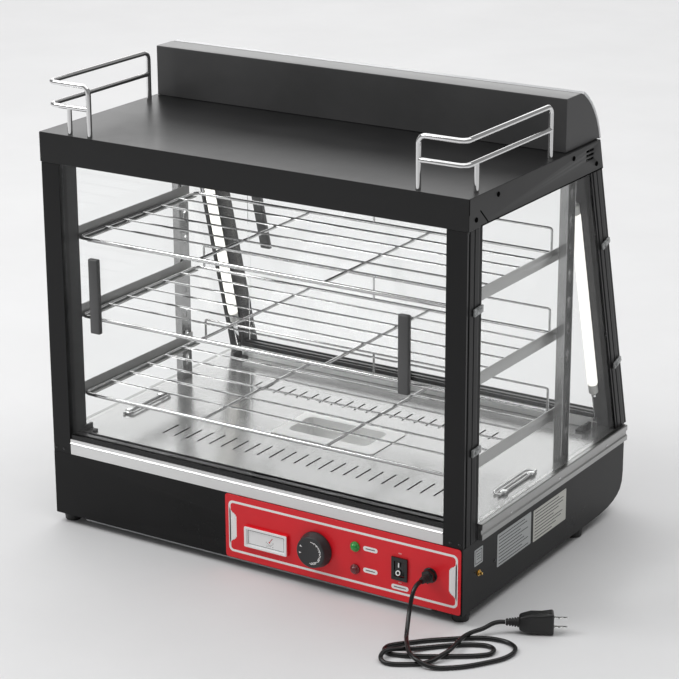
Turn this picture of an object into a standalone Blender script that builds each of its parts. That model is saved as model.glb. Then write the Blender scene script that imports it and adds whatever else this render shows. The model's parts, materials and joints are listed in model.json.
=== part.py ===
"""Hot food display case: a counter-top warmer with three wire shelves behind sliding glass doors.

Everything is laid out in the case's own frame, in metres: +X runs to the right along the operator's
side, +Y towards the customer's side, +Z up, from the base shell's lower left corner on the operator's
side. One empty carries the case, and puts the middle of its footprint at the world's origin.
"""

import math

import bmesh
import bpy
from mathutils import Euler, Vector

# ---------------------------------------------------------------- driving dimensions
WIDTH = 0.660           # base shell, left to right
DEPTH = 0.465           # base shell, operator's side to customer's side
BASE_BOTTOM = 0.002     # underside of the base shell
BASE_TOP = 0.095        # top edge of the base shell
DECK_TOP = 0.1177       # food deck
FRAME_TOP = 0.5133      # lower rim of the top cap
CAP_TOP = 0.5548        # flat top
HOOD_TOP = 0.6258       # raised hood on the top
FOOT_HEIGHT = 0.012

GAP = 0.0003            # between pieces that touch
SHEET = 0.0015          # folded sheet metal
GLASS = 0.004           # pane thickness
POST_WIDTH = 0.0296
NEAR_POST_DEPTH = 0.038
FAR_POST_DEPTH = 0.033
LEAN = 0.2654           # how far the customer's side leans in for each metre of height
LEAN_Y = 0.3659         # outer face of the leaning side ...
LEAN_Z = 0.510          # ... at this height

SHELF_HEIGHTS = {"bottom": 0.1775, "middle": 0.2915, "top": 0.404}
DOOR_TRAVEL = 0.290

NEAR_OUTER_PANE = 0.0040     # pane faces on the operator's side, counted from the front
NEAR_INNER_PANE = 0.0175
FAR_OUTER_PANE = 0.0235      # pane faces on the customer's side, counted in from the leaning face
FAR_INNER_PANE = 0.0360

PANEL_FRONT = -0.0013        # face of the red control panel
GLAND_END = -0.0240          # the cord leaves the gland here
WELD = 0.00005


def leaning(z, inset=0.0):
    """The customer's side at a height, or a line a horizontal distance inside it."""
    return LEAN_Y + (LEAN_Z - z) * LEAN - inset


# ---------------------------------------------------------------- scene, collections, materials
for old in list(bpy.data.objects):
    bpy.data.objects.remove(old, do_unlink=True)

parts = bpy.data.collections.new("hot_food_display_case")
cutters = bpy.data.collections.new("cutters")
for collection in (parts, cutters):
    bpy.context.scene.collection.children.link(collection)

case = bpy.data.objects.new("case_frame", None)
parts.objects.link(case)
case.location = (-WIDTH / 2, -(GLAND_END + leaning(DECK_TOP + GAP)) / 2, FOOT_HEIGHT)


def finish(name, colour, roughness, metallic=0.0, alpha=1.0):
    """A material from its colour, roughness and metallic value."""
    skin = bpy.data.materials.new(name)
    skin.use_nodes = True
    shader = skin.node_tree.nodes["Principled BSDF"]
    shader.inputs["Base Color"].default_value = (*colour, 1.0)
    shader.inputs["Roughness"].default_value = roughness
    shader.inputs["Metallic"].default_value = metallic
    shader.inputs["Alpha"].default_value = alpha
    return skin


BLACK_PAINT = ("black_paint", (0.018, 0.018, 0.020), 0.35)
GREY_PAINT = ("grey_paint", (0.62, 0.63, 0.64), 0.40)
RED_PAINT = ("red_paint", (0.75, 0.03, 0.03), 0.35)
STEEL = ("brushed_steel", (0.62, 0.62, 0.61), 0.28, 1.0)
GALVANISED = ("galvanised", (0.55, 0.56, 0.57), 0.45, 1.0)
CHROME = ("chrome", (0.80, 0.80, 0.80), 0.10, 1.0)
ANODISED = ("black_anodised", (0.03, 0.03, 0.032), 0.40, 0.6)
CLEAR_GLASS = ("clear_glass", (0.93, 0.97, 0.96), 0.03, 0.0, 0.25)
LAMP_GLASS = ("lamp_glass", (1.00, 0.93, 0.78), 0.30)
BLACK_PLASTIC = ("black_plastic", (0.02, 0.02, 0.02), 0.45)
RUBBER = ("black_rubber", (0.015, 0.015, 0.015), 0.75)
GREEN_LENS = ("green_lens", (0.02, 0.45, 0.10), 0.15)
RED_LENS = ("red_lens", (0.45, 0.02, 0.03), 0.15)
HEATER_SHEATH = ("heater_sheath", (0.30, 0.29, 0.28), 0.50, 1.0)


# ---------------------------------------------------------------- shape helpers
def add(name, data, skin):
    """Adds one named piece, with a material of its own, to the case."""
    obj = bpy.data.objects.new(name, data)
    data.materials.append(finish(f"{name}_{skin[0]}", *skin[1:]))
    parts.objects.link(obj)
    obj.parent = case
    return obj


def box(name, low, high, skin, edge=0.0):
    """A block between two corners, with its edges rounded if asked."""
    low, high = Vector(low), Vector(high)
    shape = bmesh.new()
    bmesh.ops.create_cube(shape, size=1)
    bmesh.ops.scale(shape, vec=high - low, verts=shape.verts)
    mesh = bpy.data.meshes.new(name)
    shape.to_mesh(mesh)
    shape.free()
    obj = add(name, mesh, skin)
    obj.location = (low + high) / 2
    if edge:
        rounding = obj.modifiers.new("edges", "BEVEL")
        rounding.width = edge
        rounding.segments = 2
    return obj


def plate(name, outlines, plane, low, high, skin):
    """A flat outline, any holes after it, drawn in a plane and filled from low to high across it."""
    curve = bpy.data.curves.new(name, "CURVE")
    curve.dimensions = "2D"
    curve.fill_mode = "BOTH"
    curve.extrude = (high - low) / 2
    for outline in outlines:
        spline = curve.splines.new("POLY")
        spline.points.add(len(outline) - 1)
        for point, (across, up) in zip(spline.points, outline):
            point.co = (across, up, 0, 1)
        spline.use_cyclic_u = True
    obj = add(name, curve, skin)
    quarter = math.pi / 2
    middle = (low + high) / 2
    obj.location, obj.rotation_euler = {
        "xy": ((0, 0, middle), (0, 0, 0)),
        "xz": ((0, middle, 0), (quarter, 0, 0)),
        "yz": ((middle, 0, 0), (quarter, 0, quarter)),
    }[plane]
    return obj


def tube(name, route, radius, skin, roundness=2):
    """A round bar or wire along a route, with closed ends."""
    curve = bpy.data.curves.new(name, "CURVE")
    curve.dimensions = "3D"
    curve.bevel_depth = radius
    curve.bevel_resolution = roundness
    curve.use_fill_caps = True
    spline = curve.splines.new("POLY")
    spline.points.add(len(route) - 1)
    for point, place in zip(spline.points, route):
        point.co = (*place, 1)
    return add(name, curve, skin)


def turned(name, profile, place, skin, steps=20):
    """A turned piece facing the operator: (radius, distance out) pairs, from its front to its back."""
    shape = bmesh.new()
    ring = [shape.verts.new((radius, 0, out)) for radius, out in profile]
    for upper, lower in zip(ring, ring[1:]):
        shape.edges.new((upper, lower))
    mesh = bpy.data.meshes.new(name)
    shape.to_mesh(mesh)
    shape.free()
    obj = add(name, mesh, skin)
    obj.location = place
    obj.rotation_euler = (math.pi / 2, 0, 0)
    lathe = obj.modifiers.new("lathe", "SCREW")
    lathe.steps = steps
    lathe.render_steps = steps
    lathe.use_merge_vertices = True
    lathe.merge_threshold = WELD
    lathe.use_smooth_shade = True
    return obj


def as_mesh(piece):
    """The same piece as a welded mesh, so that it can be cut or joined."""
    bpy.context.view_layer.update()
    mesh = bpy.data.meshes.new_from_object(piece.evaluated_get(bpy.context.evaluated_depsgraph_get()))
    shape = bmesh.new()
    shape.from_mesh(mesh)
    bmesh.ops.remove_doubles(shape, verts=shape.verts, dist=WELD)
    shape.to_mesh(mesh)
    shape.free()
    name = piece.name
    solid = bpy.data.objects.new(name, mesh)
    parts.objects.link(solid)
    solid.parent = case
    solid.location = piece.location
    solid.rotation_euler = piece.rotation_euler
    bpy.data.objects.remove(piece, do_unlink=True)
    solid.name = name
    return solid


def change(piece, tool, operation, solver="EXACT"):
    """Joins a tool to a piece, or cuts it away, and keeps the tool among the cutters."""
    if tool.type == "CURVE":
        tool = as_mesh(tool)
    tool.hide_render = True
    tool.display_type = "WIRE"
    parts.objects.unlink(tool)
    cutters.objects.link(tool)
    step = piece.modifiers.new(tool.name, "BOOLEAN")
    step.operation = operation
    step.solver = solver
    step.object = tool
    return piece


def joined(piece, *others, solver="EXACT"):
    for other in others:
        change(piece, other, "UNION", solver)
    return piece


def cut(piece, *tools):
    for tool in tools:
        change(piece, tool, "DIFFERENCE")
    return piece


# ---------------------------------------------------------------- outline helpers
def rectangle(left, low, right, high):
    return [(left, low), (right, low), (right, high), (left, high)]


def rounded(left, low, right, high, radius, steps=3):
    """A rectangle's outline with round corners."""
    centres = [(right - radius, high - radius), (left + radius, high - radius),
               (left + radius, low + radius), (right - radius, low + radius)]
    outline = []
    for quarter, (across, up) in enumerate(centres):
        outline += arc(across, up, radius, quarter * 90, quarter * 90 + 90, steps)
    return outline


def arc(across, up, radius, start, end, steps):
    """Points along an arc between two angles in degrees."""
    angles = [math.radians(start + (end - start) * i / steps) for i in range(steps + 1)]
    return [(across + radius * math.cos(a), up + radius * math.sin(a)) for a in angles]


def circle(across, up, radius, sides=16):
    return arc(across, up, radius, 0, 360, sides)[:-1]


def bent(corners, radius, steps=4):
    """A route through the corners, with each inner corner bent to a radius."""
    corners = [Vector(corner) for corner in corners]
    route = [corners[0]]
    for before, corner, after in zip(corners, corners[1:], corners[2:]):
        back = (before - corner).normalized()
        onward = (after - corner).normalized()
        half = back.angle(onward) / 2
        centre = corner + (back + onward).normalized() * radius / math.sin(half)
        start = (corner + back * radius / math.tan(half) - centre).normalized()
        end = (corner + onward * radius / math.tan(half) - centre).normalized()
        route += [centre + start.slerp(end, i / steps) * radius for i in range(steps + 1)]
    return route + [corners[-1]]


def both_sides(low, high):
    """The x range of a left-hand piece, and of its mirror image on the right."""
    return {"left": (low, high), "right": (WIDTH - high, WIDTH - low)}


# ---------------------------------------------------------------- control openings, shared by two sheets
THERMOMETER = (0.361, 0.0405)       # centre of the rectangular thermometer
KNOB = (0.439, 0.046)
GREEN_PILOT = (0.500, 0.064)
RED_PILOT = (0.500, 0.032)
ROCKER = (0.568, 0.048)
GLAND = (0.613, 0.050)
THERMOMETER_BODY = (0.029, 0.0105)  # half width and half height behind the bezel
ROCKER_BODY = (0.0098, 0.0132)
PILOT_HOLE = 0.0052
SHAFT_HOLE = 0.0045
GLAND_HOLE = 0.0072


def around(centre, half):
    return rectangle(centre[0] - half[0], centre[1] - half[1], centre[0] + half[0], centre[1] + half[1])


def control_openings():
    """Outlines of the holes that the controls pass through."""
    return [around(THERMOMETER, THERMOMETER_BODY),
            circle(*KNOB, SHAFT_HOLE, 12),
            circle(*GREEN_PILOT, PILOT_HOLE, 12),
            circle(*RED_PILOT, PILOT_HOLE, 12),
            around(ROCKER, ROCKER_BODY),
            circle(*GLAND, GLAND_HOLE)]


# ---------------------------------------------------------------- base
def base_outline(inset, top):
    """Side view of the base: square at the operator's side, swept up in a soft curve at the other."""
    sweep_start, sweep_top, fullness, steps = 0.360, 0.046, 2 / 3, 7
    outline = [(inset, BASE_BOTTOM + inset)]
    for i in range(steps + 1):
        angle = math.radians(90 * i / steps)
        along = sweep_start + (DEPTH - inset - sweep_start) * math.sin(angle) ** fullness
        up = sweep_top - (sweep_top - BASE_BOTTOM - inset) * math.cos(angle) ** fullness
        outline.append((along, max(up, BASE_BOTTOM + inset)))
    return outline + [(DEPTH - inset, top), (inset, top)]


def make_base():
    shell = as_mesh(plate("base_shell", [base_outline(0, BASE_TOP)], "yz", 0, WIDTH, BLACK_PAINT))
    rear_rise = box("rear_rise", (0.001, DEPTH - 0.0013, 0.080), (WIDTH - 0.001, DEPTH - 0.0001, 0.1158),
                    BLACK_PAINT)
    inside = plate("base_inside", [base_outline(SHEET, BASE_TOP + 0.1)], "yz",
                   SHEET, WIDTH - SHEET, BLACK_PAINT)
    service_hole = box("service_hole", (0.070, 0.050, -0.010), (0.580, 0.340, 0.010), BLACK_PAINT)
    holes = plate("control_holes", control_openings(), "xz", -0.010, 0.010, BLACK_PAINT)
    cut(shell, inside, service_hole, holes)
    joined(shell, rear_rise)

    tray_top = BASE_BOTTOM - GAP
    tray = box("bottom_plate", (0.041, 0.015, -0.0085), (0.606, 0.400, tray_top), GALVANISED)
    cut(tray, box("tray_inside", (0.042, 0.016, -0.0075), (0.605, 0.399, 0.010), GALVANISED))

    for side, x in (("left", 0.0135), ("right", WIDTH - 0.0135)):
        for end, y in (("near", 0.020), ("far", 0.340)):
            make_foot(f"foot_{end}_{side}", (x, y))


def make_foot(name, centre):
    """A short rubber foot, a little narrower at the floor."""
    top_radius, floor_radius = 0.0125, 0.0112
    shape = bmesh.new()
    bmesh.ops.create_cone(shape, cap_ends=True, segments=16, radius1=floor_radius, radius2=top_radius,
                          depth=FOOT_HEIGHT + BASE_BOTTOM - GAP)
    mesh = bpy.data.meshes.new(name)
    shape.to_mesh(mesh)
    shape.free()
    foot = add(name, mesh, RUBBER)
    foot.location = (*centre, (BASE_BOTTOM - GAP - FOOT_HEIGHT) / 2)


# ---------------------------------------------------------------- deck, trims and water pan
SLOT_WIDTH = 0.002
SLOT_PITCH = 0.020
SLOT_COUNT = 21
SLOT_START = 0.1255
SLOT_ROWS = ((0.088, 0.126), (0.307, 0.338))
PAN_FLANGE = (0.252, 0.168, 0.421, 0.263)
PAN_WELL = (0.267, 0.190, 0.398, 0.251)
PAN_FLOOR = 0.060


def grown(frame, by):
    return (frame[0] - by, frame[1] - by, frame[2] + by, frame[3] + by)


def make_deck():
    edge, front = WIDTH - GAP, 0.0023
    notch_x, notch_y = POST_WIDTH + GAP, NEAR_POST_DEPTH + GAP
    rim = [(notch_x, front), (WIDTH - notch_x, front), (WIDTH - notch_x, notch_y), (edge, notch_y),
           (edge, DEPTH - GAP), (GAP, DEPTH - GAP), (GAP, notch_y), (notch_x, notch_y)]
    slots = []
    for low, high in SLOT_ROWS:
        for i in range(SLOT_COUNT):
            middle = SLOT_START + i * SLOT_PITCH
            slots.append(rectangle(middle - SLOT_WIDTH / 2, low, middle + SLOT_WIDTH / 2, high))
    well = rounded(*grown(PAN_WELL, 0.0025), 0.012)
    plate("deck_plate", [rim, well] + slots, "xy", DECK_TOP - SHEET, DECK_TOP, STEEL)


def make_trims():
    """Ribbed stainless strips that close the step between the base shell and the deck."""
    low, high = BASE_TOP + GAP, DECK_TOP
    under_deck = DECK_TOP - SHEET - GAP
    flange_low = under_deck - SHEET
    flange = 0.018
    front = [(GAP, low), (0.0018, low), (0.0018, flange_low), (flange, flange_low), (flange, under_deck),
             (0.0018, under_deck), (0.0018, high), (GAP, high), (GAP, 0.1130), (-0.0010, 0.1115),
             (GAP, 0.1100)]
    plate("trim_front", [front], "yz", POST_WIDTH + GAP, WIDTH - POST_WIDTH - GAP, STEEL)

    proud = 0.0065
    side = [(GAP, low), (proud, low), (proud, 0.1020), (0.0045, 0.1035), (0.0045, 0.1085), (proud, 0.1100),
            (proud, high - 0.001), (proud - 0.001, high), (GAP, high), (GAP, under_deck),
            (-flange, under_deck), (-flange, flange_low), (GAP, flange_low)]
    ends = (NEAR_POST_DEPTH + GAP, 0.461)
    plate("trim_right", [[(WIDTH + x, z) for x, z in side]], "xz", *ends, STEEL)
    plate("trim_left", [[(-x, z) for x, z in side]], "xz", *ends, STEEL)


def make_water_pan():
    """A pressed pan that drops into the deck and rests on its flange."""
    rest = DECK_TOP + GAP
    pan = as_mesh(plate("water_pan", [rounded(*PAN_FLANGE, 0.006)], "xy", rest, rest + 0.001, STEEL))
    tub = plate("pan_tub", [rounded(*grown(PAN_WELL, 0.001), 0.011)], "xy", PAN_FLOOR - 0.001,
                rest + 0.0005, STEEL)
    hollow = plate("pan_hollow", [rounded(*PAN_WELL, 0.010)], "xy", PAN_FLOOR, rest + 0.01, STEEL)
    joined(pan, tub)
    cut(pan, hollow)


def make_heater():
    """A sheathed heating element, bent to a U under the pan."""
    height, radius = 0.035, 0.00425
    corners = [(0.150, 0.165, 0.020), (0.150, 0.165, height), (0.510, 0.165, height),
               (0.510, 0.275, height), (0.150, 0.275, height), (0.150, 0.275, 0.020)]
    tube("heating_element", bent(corners, 0.012, 3), radius, HEATER_SHEATH, roundness=1)


# ---------------------------------------------------------------- door tracks and rear curb
def comb(floor, back, low_y, high_y, grooves):
    """Side view of a track: a solid back with a groove for each pane, open at the floor side."""
    outline = [(low_y, back), (low_y, floor)]
    depth = floor + (back - floor) * GROOVE_SHARE
    for near, far in grooves:
        outline += [(near, floor), (near, depth), (far, depth), (far, floor)]
    return outline + [(high_y, floor), (high_y, back)]


GROOVE_SHARE = 0.75          # how much of a lower track's height its grooves take
GROOVE_ROOM = 0.0007         # room beside a pane in its groove
UPPER_TRACK_LOW = 0.5155
UPPER_TRACK_HIGH = 0.5530
PANE_TOP = 0.524


def make_tracks():
    span = (POST_WIDTH + GAP, WIDTH - POST_WIDTH - GAP)
    near_grooves = [(pane - GROOVE_ROOM, pane + GLASS + GROOVE_ROOM)
                    for pane in (NEAR_OUTER_PANE, NEAR_INNER_PANE)]
    near_low, near_high = 0.0023, 0.0240
    lower = comb(0.1240, DECK_TOP + GAP, near_low, near_high, near_grooves)
    plate("near_track_lower", [lower], "yz", *span, ANODISED)
    upper = upper_comb(near_low, near_high, near_grooves)
    plate("near_track_upper", [upper], "yz", *span, ANODISED)

    far_lower_top, far_lower_base = 0.1400, 0.1340
    far_grooves = [(leaning(far_lower_base, inset + GLASS) - GROOVE_ROOM - 0.0012,
                    leaning(far_lower_base, inset) + GROOVE_ROOM)
                   for inset in (FAR_INNER_PANE, FAR_OUTER_PANE)]
    lower = comb(far_lower_top, far_lower_base, 0.4213, 0.4450, far_grooves)
    plate("far_track_lower", [lower], "yz", *span, ANODISED)
    upper_grooves = [(leaning(PANE_TOP, inset + GLASS) - GROOVE_ROOM,
                      leaning(UPPER_TRACK_LOW, inset) + GROOVE_ROOM)
                     for inset in (FAR_INNER_PANE, FAR_OUTER_PANE)]
    plate("far_track_upper", [upper_comb(0.3190, 0.3440, upper_grooves)], "yz", *span, ANODISED)

    top, bottom = far_lower_base - GAP, DECK_TOP + GAP
    inner, outer = 0.4210, 0.4480
    curb = [(inner, bottom), (inner, top), (outer, top), (outer, bottom), (outer - SHEET, bottom),
            (outer - SHEET, top - SHEET), (inner + SHEET, top - SHEET), (inner + SHEET, bottom)]
    plate("rear_curb", [curb], "yz", *span, STEEL)


def upper_comb(low_y, high_y, grooves):
    """Side view of an upper track, which hangs from the top cap with its grooves facing down."""
    roof = PANE_TOP + 0.003
    outline = [(low_y, UPPER_TRACK_HIGH), (low_y, UPPER_TRACK_LOW)]
    for near, far in grooves:
        outline += [(near, UPPER_TRACK_LOW), (near, roof), (far, roof), (far, UPPER_TRACK_LOW)]
    return outline + [(high_y, UPPER_TRACK_LOW), (high_y, UPPER_TRACK_HIGH)]


# ---------------------------------------------------------------- posts, side glass, top cap, hood
def make_posts():
    tongue, shoulder = UPPER_TRACK_HIGH, FRAME_TOP - GAP
    foot = BASE_TOP + GAP
    near = [(0, foot), (NEAR_POST_DEPTH, foot), (NEAR_POST_DEPTH, shoulder), (0.036, shoulder),
            (0.036, tongue), (0.002, tongue), (0.002, shoulder), (0, shoulder)]
    foot = DECK_TOP + GAP
    tongue = 0.550
    back, front = 0.030, 0.0025
    far = [(leaning(foot, FAR_POST_DEPTH), foot), (leaning(foot), foot), (leaning(shoulder), shoulder),
           (leaning(shoulder, front), shoulder), (leaning(tongue, front), tongue),
           (leaning(tongue, back), tongue), (leaning(shoulder, back), shoulder),
           (leaning(shoulder, FAR_POST_DEPTH), shoulder)]
    edge = FAR_POST_DEPTH + 0.0005
    glass_top = 0.545
    glass_near = NEAR_POST_DEPTH + 0.0005
    side = [(glass_near, foot), (leaning(foot, edge), foot), (leaning(glass_top, edge), glass_top),
            (glass_near, glass_top)]
    for name, (low, high) in both_sides(0, POST_WIDTH).items():
        plate(f"near_post_{name}", [near], "yz", low, high, ANODISED)
        plate(f"far_post_{name}", [far], "yz", low, high, ANODISED)
    for name, (low, high) in both_sides(0.002, 0.006).items():
        plate(f"side_glass_{name}", [side], "yz", low, high, CLEAR_GLASS)


def make_top_cap():
    """A folded cap, open underneath, that ties the posts together and hides the upper tracks."""
    overhang = 0.0018
    ceiling = CAP_TOP - SHEET
    outside = [(0, FRAME_TOP), (leaning(FRAME_TOP), FRAME_TOP), (leaning(CAP_TOP), CAP_TOP), (0, CAP_TOP)]
    wall = 0.0016
    open_end = FRAME_TOP - 0.020
    inside = [(SHEET, open_end), (leaning(open_end, wall), open_end), (leaning(ceiling, wall), ceiling),
              (SHEET, ceiling)]
    cap = as_mesh(plate("top_cap", [outside], "yz", -overhang, WIDTH + overhang, BLACK_PAINT))
    hollow = plate("cap_inside", [inside], "yz", SHEET - overhang, WIDTH + overhang - SHEET, BLACK_PAINT)
    vent = [rectangle(0.313, z - 0.0014, 0.334, z + 0.0014) for z in (0.5345, 0.5403, 0.5461)]
    vents = plate("cap_vents", vent, "yz", -0.010, WIDTH + 0.010, BLACK_PAINT)
    cut(cap, hollow, vents)


HOOD_NEAR = 0.2625
HOOD_CENTRE = (0.2569, 0.5317)       # middle of the hood's round back
HOOD_RADIUS = 0.1057


def hood_outline(inset, low):
    """Side view of the hood: upright towards the operator, round towards the customer."""
    top = HOOD_TOP - inset
    radius = HOOD_RADIUS - inset
    start = math.degrees(math.asin((top - HOOD_CENTRE[1]) / radius))
    end = math.degrees(math.asin((CAP_TOP + GAP - HOOD_CENTRE[1]) / radius))
    back = arc(*HOOD_CENTRE, radius, start, end, 6)
    return [(HOOD_NEAR + inset, low), (HOOD_NEAR + inset, top)] + back + [(back[-1][0], low)]


def make_hood():
    ends = (0.003, 0.657)
    hood = as_mesh(plate("hood_box", [hood_outline(0, CAP_TOP + GAP)], "yz", *ends, BLACK_PAINT))
    cut(hood, plate("hood_inside", [hood_outline(SHEET, CAP_TOP - 0.010)], "yz",
                    ends[0] + SHEET, ends[1] - SHEET, BLACK_PAINT))
    inner, outer = HOOD_RADIUS + 0.0005, 0.1100
    panel = arc(*HOOD_CENTRE, outer, 60, 12, 6) + arc(*HOOD_CENTRE, inner, 12, 60, 6)
    plate("hood_curved_panel", [panel], "yz", *ends, GREY_PAINT)


# ---------------------------------------------------------------- sliding doors
HANDLE_WIDTH = 0.016
HANDLE_DEPTH = 0.008


def leaning_block(inner, outer, low, high):
    """Side view of a flat piece that lies along the leaning side, between two insets."""
    return [(leaning(low, inner), low), (leaning(low, outer), low),
            (leaning(high, outer), high), (leaning(high, inner), high)]


def make_doors():
    near_low, far_low = 0.1199, 0.1362
    near = {"left": (NEAR_OUTER_PANE, 0.0302, 0.335, 0.076), "right": (NEAR_INNER_PANE, 0.325, 0.6298, 0.556)}
    for side, (face, low, high, handle) in near.items():
        pane = rectangle(low, near_low, high, PANE_TOP)
        plate(f"near_door_{side}_glass", [pane], "xz", face, face + GLASS, CLEAR_GLASS)
        box(f"near_door_{side}_handle", (handle, face - GAP - HANDLE_DEPTH, 0.283),
            (handle + HANDLE_WIDTH, face - GAP, 0.389), BLACK_PLASTIC, edge=0.0015)

    handle_depth = 0.0074
    far = {"left": (FAR_OUTER_PANE, 0.0302, 0.335, 0.085), "right": (FAR_INNER_PANE, 0.325, 0.6268, 0.432)}
    for side, (inset, low, high, handle) in far.items():
        pane = leaning_block(inset + GLASS, inset, far_low, PANE_TOP)
        plate(f"far_door_{side}_glass", [pane], "yz", low, high, CLEAR_GLASS)
        grip = leaning_block(inset - GAP, inset - GAP - handle_depth, 0.305, 0.410)
        plate(f"far_door_{side}_handle", [grip], "yz", handle, handle + HANDLE_WIDTH, BLACK_PLASTIC)


# ---------------------------------------------------------------- guard rails
def make_guard_rail(name, corner_x, inner_x, short_post):
    """A bent rail round one corner of the top, with a middle rail and one short post under it."""
    radius, bend = 0.0035, 0.010
    front, back = 0.009, 0.230
    foot, middle, top = CAP_TOP + GAP, 0.592, 0.623
    rail = as_mesh(tube(name, bent([(inner_x, front, foot), (inner_x, front, top), (corner_x, front, top),
                                    (corner_x, back, top), (corner_x, back, foot)], bend), radius, CHROME))
    slim = radius * 0.92
    low_rail = tube(f"{name}_middle", bent([(inner_x, front, middle), (corner_x, front, middle),
                                            (corner_x, back, middle)], bend), slim, CHROME, roundness=3)
    post = tube(f"{name}_post", [(*short_post, foot), (*short_post, middle - 0.0004)], slim, CHROME,
                roundness=3)
    joined(rail, low_rail, post)


# ---------------------------------------------------------------- shelf fittings
def keyhole(y, z):
    """A round entry with a narrow slot under it."""
    radius, slot, drop = 0.0045, 0.0022, 0.0125
    round_part = arc(y, z, radius, -60, 240, 6)
    return round_part + [(y - slot, z - drop), (y + slot, z - drop)]


KEYHOLE_Y = 0.2945
KEYHOLE_PITCH = 0.0375
KEYHOLE_START = 0.152


def make_uprights():
    low, high = DECK_TOP + GAP, FRAME_TOP + 0.030
    near, far = 0.283, 0.306
    web, open_edge = 0.020, 0.0085
    channel = [(web, near), (web, far), (open_edge, far), (open_edge, far - SHEET),
               (web - SHEET, far - SHEET), (web - SHEET, near + SHEET), (open_edge, near + SHEET),
               (open_edge, near)]
    holes = [keyhole(KEYHOLE_Y, KEYHOLE_START + i * KEYHOLE_PITCH) for i in range(10)]
    for side, flip in (("left", lambda x: x), ("right", lambda x: WIDTH - x)):
        outline = [(flip(x), y) for x, y in channel]
        upright = as_mesh(plate(f"upright_{side}", [outline], "xy", low, high, STEEL))
        middle = flip(web)
        cut(upright, plate(f"keyholes_{side}", holes, "yz", middle - 0.005, middle + 0.005, STEEL))


SHELF_HALF = 0.0025          # half the thickness of a shelf's outer rods
BRACKET_X = 0.0255


def make_bracket(side, tier, height):
    """An angle that the shelf's side rod rests on, with a stud that hooks into the upright."""
    flip = (lambda x: x) if side == "left" else (lambda x: WIDTH - x)
    seat = height - SHELF_HALF - GAP
    plate_x, flange_x = BRACKET_X + SHEET, 0.040
    angle = [(BRACKET_X, seat - SHEET), (flange_x, seat - SHEET), (flange_x, seat), (plate_x, seat),
             (plate_x, height + 0.013), (BRACKET_X, height + 0.013)]
    name = f"shelf_bracket_{tier}_{side}"
    bracket = as_mesh(plate(name, [[(flip(x), z) for x, z in angle]], "xz",
                            NEAR_POST_DEPTH + GAP, 0.300, STEEL))
    steps = round((height - KEYHOLE_START) / KEYHOLE_PITCH)
    stud_z = KEYHOLE_START + steps * KEYHOLE_PITCH - 0.006
    stud_z = min(max(stud_z, height - 0.003), height + 0.011)
    stud = tube(f"{name}_stud", [(flip(BRACKET_X + 0.0007), KEYHOLE_Y, stud_z),
                                 (flip(0.016), KEYHOLE_Y, stud_z)], 0.0018, STEEL, roundness=1)
    joined(bracket, stud)


def make_shelf(tier, height):
    """A grid of wires in a bent frame, with a raised wire along its customer side."""
    rod, wire = SHELF_HALF, 0.0015
    left, right, front, back = 0.033, WIDTH - 0.033, 0.032, 0.306
    uprights = [left, 0.230, 0.427, right]
    lines = [(front, rod)] + [(y, wire) for y in (0.091, 0.134, 0.177, 0.220, 0.263)] + [(back, rod)]
    grid = [rounded(left - rod, front - rod, right + rod, back + rod, 0.010)]
    for start, end in zip(uprights, uprights[1:]):
        for (low, below), (high, above) in zip(lines, lines[1:]):
            grid.append(rectangle(start + rod, low + below, end - rod, high - above))
    shelf = as_mesh(plate(f"wire_shelf_{tier}", [grid[0]] + grid[1:], "xy", height - rod, height + rod,
                          CHROME))
    stop_y, stop_z, stop_radius = 0.3055, height + 0.034, 0.00175
    hoop = bent([(0.047, stop_y, height), (0.047, stop_y, stop_z), (0.618, stop_y, stop_z),
                 (0.618, stop_y, height)], 0.008, 3)
    middle_leg = [(0.340, stop_y, height + 0.0004), (0.340, stop_y, stop_z + 0.0004)]
    joined(shelf, tube(f"{tier}_stop", hoop, stop_radius, CHROME, roundness=1),
           tube(f"{tier}_stop_leg", middle_leg, stop_radius * 0.85, CHROME, roundness=1), solver="MANIFOLD")


# ---------------------------------------------------------------- lamps
def make_lamp(side):
    """A straight lamp that stands along the leaning post, with a holder at each end."""
    x = 0.025 if side == "left" else WIDTH - 0.025
    inset, glass_radius, cap_radius = 0.0425, 0.0075, 0.0068
    ends = [Vector((x, leaning(z, inset), z)) for z in (0.176, 0.190, 0.452, 0.466)]
    lamp = as_mesh(tube(f"lamp_tube_{side}", [ends[1], ends[2]], glass_radius, LAMP_GLASS, roundness=4))
    for place, (start, end) in (("foot", (ends[0], ends[1].lerp(ends[2], 0.01))),
                                ("head", (ends[2].lerp(ends[1], 0.01), ends[3]))):
        joined(lamp, tube(f"lamp_{side}_{place}", [start, end], cap_radius, LAMP_GLASS, roundness=4))


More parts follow.
